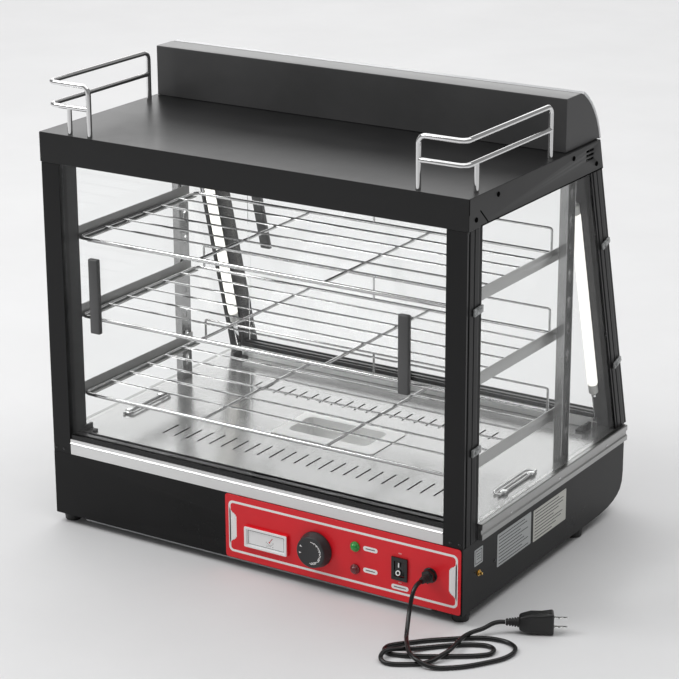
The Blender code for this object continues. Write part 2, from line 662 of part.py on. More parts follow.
# ---------------------------------------------------------------- controls
def make_controls():
    panel = rectangle(0.2935, 0.0030, 0.658, 0.0947)
    plate("control_panel", [panel] + control_openings(), "xz", PANEL_FRONT, -GAP, RED_PAINT)
    face = PANEL_FRONT - GAP

    bezel_half = (0.034, 0.0145)
    low, high = around(THERMOMETER, bezel_half)[0], around(THERMOMETER, bezel_half)[2]
    thermometer = box("thermometer", (low[0], face - 0.005, low[1]), (high[0], face, high[1]), CHROME)
    body_half = (THERMOMETER_BODY[0] - 0.0005, THERMOMETER_BODY[1] - 0.0005)
    low, high = around(THERMOMETER, body_half)[0], around(THERMOMETER, body_half)[2]
    joined(thermometer, box("thermometer_body", (low[0], face - 0.002, low[1]), (high[0], 0.014, high[1]),
                            CHROME))

    knob_profile = [(0, 0.0210), (0.0165, 0.0210), (0.0182, 0.0195), (0.0192, 0.0075), (0.0238, 0.0055),
                    (0.0250, 0.0040), (0.0250, 0.0025), (0.0030, 0.0025), (0.0030, -0.0150), (0, -0.0150)]
    turned("thermostat_knob", knob_profile, (KNOB[0], 0, KNOB[1]), BLACK_PLASTIC, steps=28)
    body = box("thermostat_body", (KNOB[0] - 0.022, 0.0022, KNOB[1] - 0.020),
               (KNOB[0] + 0.022, 0.034, KNOB[1] + 0.020), BLACK_PLASTIC)
    bore = plate("shaft_bore", [circle(*KNOB, 0.0034, 12)], "xz", -0.010, 0.018, BLACK_PLASTIC)
    cut(body, bore)

    pilot_profile = [(0, 0.0088), (0.0028, 0.0083), (0.0048, 0.0068), (0.0054, 0.0050), (0.0068, 0.0040),
                     (0.0070, 0.0018), (0.0047, 0.0018), (0.0047, -0.0160), (0, -0.0160)]
    turned("pilot_light_green", pilot_profile, (GREEN_PILOT[0], 0, GREEN_PILOT[1]), GREEN_LENS)
    turned("pilot_light_red", pilot_profile, (RED_PILOT[0], 0, RED_PILOT[1]), RED_LENS)
    make_rocker(face)

    gland_profile = [(0.0036, -GLAND_END), (0.0052, -GLAND_END - 0.0006), (0.0064, -GLAND_END - 0.0060),
                     (0.0090, 0.0130), (0.0098, 0.0120), (0.0098, 0.0062), (0.0105, 0.0056),
                     (0.0105, 0.0020), (0.0066, 0.0020), (0.0066, -0.0120), (0, -0.0120)]
    turned("cord_gland", [(0, -GLAND_END)] + gland_profile, (GLAND[0], 0, GLAND[1]), BLACK_PLASTIC)


ROCKER_TILT = 9.0            # degrees either side of level; at rest its upper end is pressed in


def make_rocker(face):
    """A snap-in rocker switch: a framed housing, and a button that tips about its middle."""
    across, up = ROCKER
    frame = box("rocker_frame", (across - 0.012, face - 0.0024, up - 0.016), (across + 0.012, face, up + 0.016),
                BLACK_PLASTIC)
    housing = box("rocker_housing", (across - 0.0093, face - 0.001, up - 0.0127),
                  (across + 0.0093, 0.018, up + 0.0127), BLACK_PLASTIC)
    mouth = box("rocker_mouth", (across - 0.0075, -0.020, up - 0.0106), (across + 0.0075, 0.0100, up + 0.0106),
                BLACK_PLASTIC)
    joined(frame, housing)
    cut(frame, mouth)
    pivot_y = 0.0024
    profile = [(0.0025, -0.0085), (0.0025, 0.0085), (-0.0064, 0.0094), (-0.0050, 0), (-0.0064, -0.0094)]
    button = plate("rocker_button", [profile], "yz", -0.0071, 0.0071, BLACK_PLASTIC)
    button.rotation_euler.y = math.radians(ROCKER_TILT)
    button.location = (across, pivot_y, up)


# ---------------------------------------------------------------- mains cord and plug
CORD_RADIUS = 0.0029
CORD_STEP = 0.0155           # distance between the tube's points
PLUG_AT = Vector((0.7150, 0.0150, 0.0032))       # where the cord enters the plug's strain relief
PLUG_HEADING = math.radians(30.3)
CORD_ROUTE = [
    (0.6130, -0.0244, 0.0500), (0.6130, -0.0320, 0.0500), (0.6131, -0.0405, 0.0468),
    (0.6138, -0.0485, 0.0378), (0.6158, -0.0580, 0.0225), (0.6230, -0.0750, 0.0080),
    (0.6300, -0.0890, 0.0020), (0.6390, -0.1020, 0.0008), (0.6480, -0.1140, -0.0008),
    (0.6590, -0.1230, -0.0018), (0.6690, -0.1270, -0.0032), (0.6810, -0.1270, -0.0064),
    (0.6930, -0.1230, -0.0085), (0.7060, -0.1140, -0.0090), (0.7220, -0.0990, -0.0090),
    (0.7370, -0.0790, -0.0090), (0.7500, -0.0570, -0.0090), (0.7540, -0.0370, -0.0090),
    (0.7480, -0.0210, -0.0090), (0.7310, -0.0130, -0.0090), (0.7080, -0.0160, -0.0090),
    (0.6860, -0.0280, -0.0090), (0.6660, -0.0440, -0.0090), (0.6450, -0.0620, -0.0090),
    (0.6290, -0.0790, -0.0090), (0.6170, -0.0920, -0.0090), (0.6110, -0.1020, -0.0090),
    (0.6120, -0.1130, -0.0090), (0.6210, -0.1190, -0.0090), (0.6330, -0.1170, -0.0090),
    (0.6490, -0.1110, -0.0090), (0.6690, -0.1000, -0.0090), (0.6910, -0.0860, -0.0090),
    (0.7120, -0.0720, -0.0090), (0.7250, -0.0610, -0.0090), (0.7310, -0.0520, -0.0090),
    (0.7290, -0.0410, -0.0090), (0.7210, -0.0360, -0.0090), (0.7100, -0.0370, -0.0090),
    (0.6930, -0.0460, -0.0090), (0.6730, -0.0620, -0.0090), (0.6560, -0.0790, -0.0087),
    (0.6440, -0.0940, -0.0074), (0.6350, -0.1070, -0.0046), (0.6260, -0.1190, -0.0027),
    (0.6200, -0.1280, -0.0040), (0.6220, -0.1380, -0.0070), (0.6300, -0.1430, -0.0089),
    (0.6410, -0.1420, -0.0090), (0.6540, -0.1350, -0.0090), (0.6700, -0.1230, -0.0090),
    (0.6800, -0.1100, -0.0077), (0.6860, -0.0970, -0.0040), (0.6890, -0.0840, -0.0026),
    (0.6880, -0.0700, -0.0027), (0.6860, -0.0540, -0.0026), (0.6850, -0.0380, -0.0027),
    (0.6870, -0.0220, -0.0034), (0.6935, -0.0055, -0.0034), (0.7010, 0.0050, 0.0010),
    (0.7075, 0.0106, 0.0029), (0.7146, 0.01477, 0.0032),
]


def smooth_route(corners, step):
    """Evenly spaced points along a smooth curve through the route's own points."""
    corners = [Vector(corner) for corner in corners]
    ends = [corners[0] * 2 - corners[1]] + corners + [corners[-1] * 2 - corners[-2]]
    fine = []
    for before, start, end, after in zip(ends, ends[1:], ends[2:], ends[3:]):
        for i in range(12):
            t = i / 12
            fine.append(0.5 * (2 * start + (end - before) * t
                               + (2 * before - 5 * start + 4 * end - after) * t ** 2
                               + (3 * start - before - 3 * end + after) * t ** 3))
    fine.append(corners[-1])
    lengths = [(b - a).length for a, b in zip(fine, fine[1:])]
    count = round(sum(lengths) / step)
    spacing, route, travelled = sum(lengths) / count, [fine[0]], 0.0
    for start, end, length in zip(fine, fine[1:], lengths):
        while len(route) < count and travelled + length >= spacing * len(route):
            route.append(start.lerp(end, (spacing * len(route) - travelled) / length))
        travelled += length
    return route + [fine[-1]]


def make_cord():
    """The cord leaves its gland, drops, lies in a loose flat coil and ends in a two-blade plug."""
    route = smooth_route(CORD_ROUTE, CORD_STEP)
    straight_start = route[0].lerp(Vector(CORD_ROUTE[1]), 0.4)
    straight_end = route[-1].lerp(Vector(CORD_ROUTE[-2]), 0.4)
    route = [route[0], straight_start] + route[1:-1] + [straight_end, route[-1]]
    tube("power_cord", route, CORD_RADIUS, RUBBER)


def make_plug():
    """A moulded plug on its edge: ribbed strain relief, body and two flat blades, made lying along +X."""
    relief_length, body_length, blade_length = 0.017, 0.044, 0.018
    half_width, half_height, blade_apart = 0.0100, 0.0150, 0.0127
    body_end = relief_length + body_length
    plug = box("power_plug", (relief_length, -half_width, -half_height), (body_end, half_width, half_height),
               BLACK_PLASTIC)
    tools = [tube("plug_relief", [Vector((0, 0, 0)), Vector((relief_length + 0.004, 0, 0))], 0.0066,
                  BLACK_PLASTIC)]
    for side in (-1, 1):
        middle = side * blade_apart / 2
        tools.append(box(f"plug_blade_{side}", (body_end - 0.005, -0.0031, middle - 0.00075),
                         (body_end + blade_length, 0.0031, middle + 0.00075), CHROME))
    joined(plug, *tools)
    for piece in [plug] + [step.object for step in plug.modifiers]:
        local = piece.location.copy()
        local.rotate(Euler((0, 0, PLUG_HEADING)))
        piece.location = PLUG_AT + local
        piece.rotation_euler = (piece.rotation_euler.x, piece.rotation_euler.y, PLUG_HEADING)


# ---------------------------------------------------------------- assembly
make_base()
make_deck()
make_trims()
make_water_pan()
make_heater()
make_tracks()
make_posts()
make_top_cap()
make_hood()
make_doors()
make_guard_rail("guard_rail_right", 0.651, 0.585, (0.651, 0.036))
make_guard_rail("guard_rail_left", 0.012, 0.078, (0.045, 0.009))
make_uprights()
for tier_name, tier_height in SHELF_HEIGHTS.items():
    make_shelf(tier_name, tier_height)
    make_bracket("left", tier_name, tier_height)
    make_bracket("right", tier_name, tier_height)
make_lamp("left")
make_lamp("right")
make_controls()
make_cord()
make_plug()
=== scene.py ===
"""The looks of the hot food display case: sheet metal, glass, chrome wire, printed panel and mains cord.

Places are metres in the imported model's frame. at() takes the case's own frame: +X right along the
operator's side, +Y towards the customer, +Z up, from the base shell's lower left corner.
"""

import json
import math
import random

import bmesh
import bpy
from mathutils import Matrix, Vector

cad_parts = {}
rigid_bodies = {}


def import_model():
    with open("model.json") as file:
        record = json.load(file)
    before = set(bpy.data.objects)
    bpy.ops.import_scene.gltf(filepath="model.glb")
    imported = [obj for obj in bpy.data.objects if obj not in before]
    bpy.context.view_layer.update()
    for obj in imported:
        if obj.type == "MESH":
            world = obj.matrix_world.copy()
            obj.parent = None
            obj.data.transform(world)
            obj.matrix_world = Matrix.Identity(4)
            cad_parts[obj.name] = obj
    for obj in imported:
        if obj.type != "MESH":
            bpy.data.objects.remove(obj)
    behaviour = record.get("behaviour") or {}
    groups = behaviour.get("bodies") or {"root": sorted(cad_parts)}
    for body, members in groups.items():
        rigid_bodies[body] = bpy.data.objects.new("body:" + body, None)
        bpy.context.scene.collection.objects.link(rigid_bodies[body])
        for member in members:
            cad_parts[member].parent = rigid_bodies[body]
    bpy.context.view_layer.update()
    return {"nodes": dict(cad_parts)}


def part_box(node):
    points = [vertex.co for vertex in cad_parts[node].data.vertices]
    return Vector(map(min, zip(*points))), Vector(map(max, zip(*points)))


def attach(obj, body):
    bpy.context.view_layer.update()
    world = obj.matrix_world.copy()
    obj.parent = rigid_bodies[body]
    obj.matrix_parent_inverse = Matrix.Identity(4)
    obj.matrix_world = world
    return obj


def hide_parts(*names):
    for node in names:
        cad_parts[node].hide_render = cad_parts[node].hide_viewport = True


for old in list(bpy.data.objects):
    bpy.data.objects.remove(old, do_unlink=True)
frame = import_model()

# ---------------------------------------------------------------- the case's frame and main sizes
BASE_LIFT = 0.002                       # underside of the base shell above the case frame's zero
base_low, base_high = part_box("base_shell")
CORNER = Vector((base_low.x, base_low.y, base_low.z - BASE_LIFT))
WIDTH = base_high.x - base_low.x
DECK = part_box("deck_plate")[1].z - CORNER.z
CAP_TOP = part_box("top_cap")[1].z - CORNER.z
CAP_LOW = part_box("top_cap")[0].z - CORNER.z
FLOOR = -CORNER.z
LEAN = 0.2654                           # how far the customer's side leans in for each metre of height
LEAN_Y, LEAN_Z = 0.3659, 0.510          # a point of the leaning face
PANEL_FACE = -0.0013                    # front of the red panel
SHELVES = {"bottom": 0.1775, "middle": 0.2915, "top": 0.404}
PANE_TINT = (0.985, 0.99, 0.988)


def at(x, y, z):
    return CORNER + Vector((x, y, z))


def leaning(z, inset=0.0):
    """The customer's side at a height, or a line a horizontal distance inside it."""
    return LEAN_Y + (LEAN_Z - z) * LEAN - inset


# ---------------------------------------------------------------- camera, floor and light
def make_camera():
    lens, sensor = 125.5, 36.0
    camera = bpy.data.objects.new("camera", bpy.data.cameras.new("camera"))
    camera.data.lens = lens
    camera.data.sensor_width = sensor
    camera.data.shift_x = -0.0024
    camera.data.shift_y = 0.0016
    camera.data.clip_end = 60
    camera.location = at(2.0025, -2.4079, 1.3087)
    forward = Vector((-0.5065, 0.8002, -0.3209))
    roll = math.radians(-0.2)
    camera.rotation_mode = "QUATERNION"
    level = forward.to_track_quat("-Z", "Y")
    camera.rotation_quaternion = level @ Matrix.Rotation(roll, 3, "Z").to_quaternion()
    bpy.context.scene.collection.objects.link(camera)
    bpy.context.scene.camera = camera


def lamp(name, place, aim, size, power, colour=(1, 1, 1)):
    light = bpy.data.lights.new(name, "AREA")
    light.shape = "RECTANGLE"
    light.size, light.size_y = size
    light.energy = power
    light.color = colour
    obj = bpy.data.objects.new(name, light)
    obj.location = place
    obj.visible_camera = False
    obj.rotation_mode = "QUATERNION"
    obj.rotation_quaternion = (Vector(aim) - Vector(place)).to_track_quat("-Z", "Y")
    bpy.context.scene.collection.objects.link(obj)


def make_studio():
    world = bpy.data.worlds.new("studio")
    world.use_nodes = True
    background = world.node_tree.nodes["Background"]
    background.inputs["Color"].default_value = (1.0, 1.0, 1.0, 1)
    background.inputs["Strength"].default_value = 0.27
    bpy.context.scene.world = world
    lamp("key", (-2.4, -1.9, 3.2), (0, 0, 0.2), (1.5, 1.3), 50)
    lamp("overhead", (-0.6, 0.9, 4.2), (-0.6, 0.9, 0), (7.0, 7.0), 206)
    lamp("back", (-3.4, 5.4, 2.4), (0, 0, 0.5), (7.0, 3.0), 84)
    shape = bmesh.new()
    bmesh.ops.create_grid(shape, x_segments=1, y_segments=1, size=20)
    floor = bpy.data.meshes.new("floor")
    shape.to_mesh(floor)
    shape.free()
    stage = bpy.data.objects.new("floor", floor)
    bpy.context.scene.collection.objects.link(stage)
    paper = Surface("studio_floor", (0.78, 0.78, 0.785), 0.75)
    paper.vary(3.0, 0.02)
    floor.materials.append(paper.skin)
    bpy.context.scene.view_settings.view_transform = "Standard"


# ---------------------------------------------------------------- shared shader groups
def make_group(name, inputs, outputs):
    """An empty node group with named sockets, and its input and output nodes."""
    tree = bpy.data.node_groups.new(name, "ShaderNodeTree")
    for socket, kind, value in inputs:
        made = tree.interface.new_socket(socket, in_out="INPUT", socket_type=kind)
        made.default_value = value
    for socket, kind in outputs:
        tree.interface.new_socket(socket, in_out="OUTPUT", socket_type=kind)
    return tree, tree.nodes.new("NodeGroupInput"), tree.nodes.new("NodeGroupOutput")


def grain_group():
    """Stretched noise, such as the brushing on steel: fine lines, and slow clouds along them."""
    tree, given, out = make_group(
        "directional_grain",
        [("Vector", "NodeSocketVector", (0, 0, 0)), ("Stretch", "NodeSocketVector", (1, 1, 1)),
         ("Cloud Size", "NodeSocketFloat", 6.0)],
        [("Lines", "NodeSocketFloat"), ("Clouds", "NodeSocketFloat")])
    mapping = tree.nodes.new("ShaderNodeMapping")
    tree.links.new(given.outputs["Vector"], mapping.inputs["Vector"])
    tree.links.new(given.outputs["Stretch"], mapping.inputs["Scale"])
    lines = tree.nodes.new("ShaderNodeTexNoise")
    lines.inputs["Scale"].default_value = 1.0
    lines.inputs["Detail"].default_value = 4.0
    lines.inputs["Roughness"].default_value = 0.65
    tree.links.new(mapping.outputs["Vector"], lines.inputs["Vector"])
    clouds = tree.nodes.new("ShaderNodeTexNoise")
    clouds.inputs["Detail"].default_value = 3.0
    tree.links.new(given.outputs["Vector"], clouds.inputs["Vector"])
    tree.links.new(given.outputs["Cloud Size"], clouds.inputs["Scale"])
    tree.links.new(lines.outputs["Fac"], out.inputs["Lines"])
    tree.links.new(clouds.outputs["Fac"], out.inputs["Clouds"])
    return tree


def speckle_group():
    """Even fine noise, such as powder coat or moulded plastic, and a soft mask of handling marks."""
    tree, given, out = make_group(
        "fine_speckle",
        [("Vector", "NodeSocketVector", (0, 0, 0)), ("Grain Size", "NodeSocketFloat", 900.0),
         ("Mark Size", "NodeSocketFloat", 9.0)],
        [("Grain", "NodeSocketFloat"), ("Marks", "NodeSocketFloat")])
    grain = tree.nodes.new("ShaderNodeTexNoise")
    grain.inputs["Detail"].default_value = 2.0
    marks = tree.nodes.new("ShaderNodeTexNoise")
    marks.inputs["Detail"].default_value = 5.0
    marks.inputs["Roughness"].default_value = 0.6
    soften = tree.nodes.new("ShaderNodeMapRange")
    soften.inputs["From Min"].default_value = 0.35
    soften.inputs["From Max"].default_value = 0.70
    for noise, size in ((grain, "Grain Size"), (marks, "Mark Size")):
        tree.links.new(given.outputs["Vector"], noise.inputs["Vector"])
        tree.links.new(given.outputs[size], noise.inputs["Scale"])
    tree.links.new(marks.outputs["Fac"], soften.inputs["Value"])
    tree.links.new(grain.outputs["Fac"], out.inputs["Grain"])
    tree.links.new(soften.outputs["Result"], out.inputs["Marks"])
    return tree


GRAIN = grain_group()
SPECKLE = speckle_group()


class Surface:
    """A material that starts from a plain colour and gains variation, roughness detail and bump."""

    def __init__(self, name, colour, roughness, metallic=0.0):
        self.skin = bpy.data.materials.new(name)
        self.skin.use_nodes = True
        self.nodes = self.skin.node_tree.nodes
        self.links = self.skin.node_tree.links
        self.shader = self.nodes["Principled BSDF"]
        self.colour, self.roughness = colour, roughness
        self.shader.inputs["Base Color"].default_value = (*colour, 1)
        self.shader.inputs["Roughness"].default_value = roughness
        self.shader.inputs["Metallic"].default_value = metallic
        self.place = self.nodes.new("ShaderNodeTexCoord")

    def group(self, tree, **values):
        node = self.nodes.new("ShaderNodeGroup")
        node.node_tree = tree
        self.links.new(self.place.outputs["Object"], node.inputs["Vector"])
        for socket, value in values.items():
            node.inputs[socket.replace("_", " ")].default_value = value
        return node

    def spread(self, source, low, high, target):
        """Carries a 0 to 1 value to a shader socket, between two values."""
        ramp = self.nodes.new("ShaderNodeMapRange")
        ramp.inputs["To Min"].default_value = low
        ramp.inputs["To Max"].default_value = high
        self.links.new(source, ramp.inputs["Value"])
        self.links.new(ramp.outputs["Result"], target)

    def tint(self, source, amount):
        """Lightens and darkens the base colour a little with a 0 to 1 value."""
        mix = self.nodes.new("ShaderNodeMix")
        mix.data_type = "RGBA"
        for socket, factor in ((6, 1 - amount), (7, 1 + amount)):
            mix.inputs[socket].default_value = (*(min(c * factor, 1.0) for c in self.colour), 1)
        self.links.new(source, mix.inputs[0])
        self.links.new(mix.outputs[2], self.shader.inputs["Base Color"])

    def bump(self, source, height):
        node = self.nodes.new("ShaderNodeBump")
        node.inputs["Strength"].default_value = 1.0
        node.inputs["Distance"].default_value = height
        self.links.new(source, node.inputs["Height"])
        self.links.new(node.outputs["Normal"], self.shader.inputs["Normal"])

    def vary(self, mark_size, amount):
        speckle = self.group(SPECKLE, Mark_Size=mark_size)
        self.tint(speckle.outputs["Marks"], amount)
        return speckle

    def coat(self, weight, roughness=0.05):
        self.shader.inputs["Coat Weight"].default_value = weight
        self.shader.inputs["Coat Roughness"].default_value = roughness
        return self


def painted(name, colour, roughness, grain=1100.0, height=0.00004, marks=7.0, tint=0.12, coat=0.0,
            specular=0.5):
    """Powder coat or moulded plastic: fine even grain, with soft marks that change the gloss."""
    made = Surface(name, colour, roughness)
    speckle = made.group(SPECKLE, Grain_Size=grain, Mark_Size=marks)
    made.tint(speckle.outputs["Marks"], tint)
    made.spread(speckle.outputs["Marks"], roughness * 0.88, roughness * 1.12, made.shader.inputs["Roughness"])
    made.bump(speckle.outputs["Grain"], height)
    made.shader.inputs["Specular IOR Level"].default_value = specular
    if coat:
        made.coat(coat)
    return made.skin


def brushed(name, colour, roughness, stretch, height=0.00003, tint=0.08, metallic=1.0, clouds=6.0,
            specular=0.5):
    """Metal with a brushed grain: stretch is how many lines per metre run across each axis."""
    made = Surface(name, colour, roughness, metallic)
    grain = made.group(GRAIN, Stretch=stretch, Cloud_Size=clouds)
    made.tint(grain.outputs["Clouds"], tint)
    made.spread(grain.outputs["Lines"], roughness * 0.72, roughness * 1.32, made.shader.inputs["Roughness"])
    made.bump(grain.outputs["Lines"], height)
    made.shader.inputs["Specular IOR Level"].default_value = specular
    return made.skin


def clear(name, colour, roughness=0.0, ior=1.45, coat=0.0):
    """Clear glass that lets light through to what stands behind it."""
    made = Surface(name, colour, roughness)
    made.shader.inputs["Transmission Weight"].default_value = 1.0
    made.shader.inputs["IOR"].default_value = ior
    made.coat(coat, 0.02)
    speckle = made.group(SPECKLE, Mark_Size=5.0)
    made.spread(speckle.outputs["Marks"], roughness, roughness + 0.015, made.shader.inputs["Roughness"])
    thin = made.nodes.new("ShaderNodeBsdfTransparent")
    thin.inputs["Color"].default_value = (*(c ** 0.5 for c in colour), 1)
    light = made.nodes.new("ShaderNodeLightPath")
    mix = made.nodes.new("ShaderNodeMixShader")
    made.links.new(light.outputs["Is Shadow Ray"], mix.inputs[0])
    made.links.new(made.shader.outputs[0], mix.inputs[1])
    made.links.new(thin.outputs[0], mix.inputs[2])
    made.links.new(mix.outputs[0], made.nodes["Material Output"].inputs["Surface"])
    return made.skin


def glowing(name, colour, strength):
    made = Surface(name, colour, 0.35)
    speckle = made.vary(30.0, 0.03)
    made.shader.inputs["Emission Color"].default_value = (*colour, 1)
    made.shader.inputs["Emission Strength"].default_value = strength
    made.bump(speckle.outputs["Grain"], 0.00001)
    return made.skin


ALONG_X, ALONG_Y, ALONG_Z = (3.0, 900.0, 900.0), (900.0, 3.0, 900.0), (900.0, 900.0, 3.0)
BLACK = painted("black_powder_coat", (0.0055, 0.0055, 0.0058), 0.30, tint=0.25, specular=0.22)
# The cap's black coat in two copies: a lighter, glossier one on its upward faces as painted sheen, and a
# duller one on its sides as painted shade.
CAP_TOP_PAINTED_SHEEN = painted("cap_top_coat_painted_sheen", (0.0095, 0.0095, 0.0098), 0.32, tint=0.2, specular=0.52)
CAP_SIDE_PAINTED_SHADE = painted("cap_side_coat_painted_shade", (0.008, 0.008, 0.0083), 0.32, tint=0.2, specular=0.34)
HOOD_BLACK = painted("hood_powder_coat", (0.072, 0.072, 0.073), 0.42, tint=0.12, specular=0.3)
ANODISED = brushed("black_anodised", (0.0075, 0.0075, 0.008), 0.33, ALONG_Z, metallic=0.0, tint=0.2,
                   specular=0.24)
TRACK = brushed("black_track", (0.009, 0.009, 0.0095), 0.30, ALONG_X, metallic=0.0, tint=0.2, specular=0.4)
STEEL = brushed("brushed_stainless", (0.77, 0.77, 0.765), 0.42, ALONG_X)
STEEL_SIDE = brushed("brushed_stainless_side", (0.40, 0.40, 0.396), 0.30, ALONG_Y)
STEEL_UP = brushed("brushed_stainless_upright", (0.36, 0.36, 0.358), 0.20, ALONG_Z)
DECK_STEEL = brushed("deck_stainless", (0.46, 0.46, 0.458), 0.20, (4.0, 700.0, 700.0), 0.000005,
                     tint=0.04, clouds=3.0,
                     metallic=0.75)
CURB_STEEL = brushed("curb_stainless", (0.92, 0.92, 0.915), 0.34, ALONG_X, 0.000005, tint=0.03, metallic=0.4)
PAN_STEEL = brushed("pan_stainless", (0.93, 0.93, 0.92), 0.42, ALONG_X, 0.00001, metallic=0.15)
GALVANISED = brushed("galvanised_sheet", (0.55, 0.56, 0.57), 0.38, (60.0, 60.0, 60.0), 0.00002, tint=0.18)
CHROME = brushed("bright_chrome", (0.78, 0.78, 0.78), 0.07, ALONG_X, 0.000004, tint=0.03)
WIRE = brushed("plated_wire", (0.72, 0.72, 0.72), 0.12, ALONG_X, 0.000006, tint=0.06)
# A light grey sheet over the hood's black top: painted reflection of the room in the top at a grazing angle.
HOOD_TOP_REFLECTION = brushed("hood_top_reflection_paint", (0.27, 0.27, 0.27), 0.42, ALONG_X, 0.00001, metallic=0.35)
RED = painted("red_enamel", (0.80, 0.011, 0.021), 0.38, marks=5.0, tint=0.05, coat=0.2, specular=0.35)
WHITE_PRINT = painted("white_print", (0.95, 0.94, 0.93), 0.42, tint=0.02)
PINK_PRINT = painted("faded_print", (0.80, 0.30, 0.30), 0.45, tint=0.05)
END_PATCH = painted("pale_grey_print", (0.70, 0.72, 0.74), 0.40, tint=0.04)
PLASTIC = painted("black_moulding", (0.007, 0.007, 0.007), 0.38, grain=1600.0, height=0.00006, tint=0.15)
HANDLE = painted("handle_moulding", (0.085, 0.085, 0.086), 0.42, grain=1600.0, height=0.00005, tint=0.12)
GLOSS_PLASTIC = painted("black_gloss_moulding", (0.012, 0.012, 0.012), 0.16, height=0.00001, tint=0.10)
CORD = painted("cord_sheath", (0.004, 0.004, 0.004), 0.27, grain=1500.0, height=0.00002, tint=0.2)
RUBBER = painted("black_rubber", (0.013, 0.013, 0.013), 0.50, grain=2200.0, height=0.00006, tint=0.2)
GLASS = clear("clear_pane", PANE_TINT, ior=1.012, coat=0.35)
CLIP = painted("translucent_clip", (0.30, 0.31, 0.31), 0.20, height=0.00002, marks=160.0, tint=0.5, coat=0.4)
LAMP_GLOW = glowing("lamp_glow", (1.0, 0.98, 0.92), 0.88)
LAMP_END = painted("lamp_end_cap", (0.60, 0.60, 0.58), 0.35, tint=0.05)
GREEN = painted("green_lens", (0.010, 0.30, 0.045), 0.12, height=0.000002, tint=0.15, coat=0.6)
DARK_RED = painted("dark_red_lens", (0.14, 0.012, 0.016), 0.12, height=0.000002, tint=0.15, coat=0.6)
BRASS = brushed("brass", (0.62, 0.40, 0.12), 0.25, (300.0, 300.0, 300.0))
DIAL = painted("dial_face", (0.93, 0.94, 0.94), 0.30, tint=0.04, coat=0.3)
INK = painted("printed_ink", (0.05, 0.05, 0.055), 0.50, tint=0.1)
NEEDLE_RED = painted("red_ink", (0.55, 0.04, 0.04), 0.50, tint=0.1)
LABEL_GREY = painted("grey_label", (0.46, 0.48, 0.48), 0.35, tint=0.06, coat=0.2)
LABEL_CREAM = painted("cream_label", (0.60, 0.60, 0.55), 0.35, tint=0.06, coat=0.2)
HOOD_PANEL = painted("white_curved_panel", (0.72, 0.73, 0.74), 0.25, tint=0.04, coat=0.3)
# Dark matt black for the cap's seams and screws, and for the painted shade over the deck's slots.
SEAM_AND_SHADE_BLACK = painted("dark_seam_and_painted_shade", (0.003, 0.003, 0.003), 0.9, specular=0.02)
KNOB = painted("knob_moulding", (0.030, 0.031, 0.033), 0.45, grain=1600.0, height=0.00004, tint=0.15)
BEZEL = brushed("bright_bezel", (0.95, 0.95, 0.95), 0.30, ALONG_X, 0.000005, tint=0.03, metallic=0.1)
HEATER = brushed("heat_stained_sheath", (0.28, 0.24, 0.21), 0.40, (40.0, 40.0, 40.0), tint=0.35)


# ---------------------------------------------------------------- shape helpers
def piece(name, shape, skin, body="cabinet", replaces=(), sharp=38):
    """Turns a finished bmesh into a named piece that rides on a body."""
    shape.normal_update()
    mesh = bpy.data.meshes.new(name)
    shape.to_mesh(mesh)
    shape.free()
    mesh.materials.append(skin)
    mesh.shade_smooth()
    mesh.set_sharp_from_angle(angle=math.radians(sharp))
    obj = bpy.data.objects.new(name, mesh)
    bpy.context.scene.collection.objects.link(obj)
    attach(obj, body)
    if replaces:
        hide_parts(*replaces)
    return obj


def round_off(shape, edges, offset, segments=2, clamp=True):
    """Rounds a set of edges."""
    bmesh.ops.bevel(shape, geom=edges, offset=offset, segments=segments, profile=0.5, affect="EDGES",
                    material=-1, clamp_overlap=clamp)


def block(shape, low, high, edge=0.0):
    """A box between two corners of the case frame, with its edges rounded if asked."""
    low, high = at(*low), at(*high)
    made = bmesh.ops.create_cube(shape, size=1)["verts"]
    bmesh.ops.scale(shape, vec=high - low, verts=made)
    bmesh.ops.translate(shape, vec=(low + high) / 2, verts=made)
    if edge:
        round_off(shape, list({e for v in made for e in v.link_edges}), edge, 3, clamp=False)


PLANES = {"xz": lambda u, v, w: at(u, w, v), "yz": lambda u, v, w: at(w, u, v),
          "xy": lambda u, v, w: at(u, v, w)}


def prism(shape, outline, plane, low, high, edge=0.0):
    """A flat outline in one of the case's planes, pushed from low to high across it."""
    place = PLANES[plane]
    flat = [shape.verts.new(place(u, v, low)) for u, v in outline]
    face = bmesh.ops.contextual_create(shape, geom=flat)["faces"]
    pushed = bmesh.ops.extrude_face_region(shape, geom=face)["geom"]
    moved = [v for v in pushed if isinstance(v, bmesh.types.BMVert)]
    bmesh.ops.translate(shape, vec=place(0, 0, high) - place(0, 0, low), verts=moved)
    faces = list({f for v in flat + moved for f in v.link_faces})
    bmesh.ops.recalc_face_normals(shape, faces=faces)
    if edge:
        rim = [e for e in {e for f in faces for e in f.edges} if e.calc_face_angle(0) > 0.5]
        round_off(shape, rim, edge)


def arc(u, v, radius, start, end, steps):
    angles = [math.radians(start + (end - start) * i / steps) for i in range(steps + 1)]
    return [(u + radius * math.cos(a), v + radius * math.sin(a)) for a in angles]


def rounded(left, low, right, high, radius, steps=5):
    corners = [(right - radius, high - radius), (left + radius, high - radius),
               (left + radius, low + radius), (right - radius, low + radius)]
    return [p for i, (u, v) in enumerate(corners) for p in arc(u, v, radius, i * 90, i * 90 + 90, steps)]


def bent(corners, radius, steps=8):
    """A route through the corners, with each inner corner bent to a radius."""
    corners = [Vector(c) for c in corners]
    route = [corners[0]]
    for before, corner, after in zip(corners, corners[1:], corners[2:]):
        back, onward = (before - corner).normalized(), (after - corner).normalized()
        half = back.angle(onward) / 2
        centre = corner + (back + onward).normalized() * radius / math.sin(half)
        start = (corner + back * radius / math.tan(half) - centre).normalized()
        end = (corner + onward * radius / math.tan(half) - centre).normalized()
        route += [centre + start.slerp(end, i / steps) * radius for i in range(steps + 1)]
    return route + [corners[-1]]


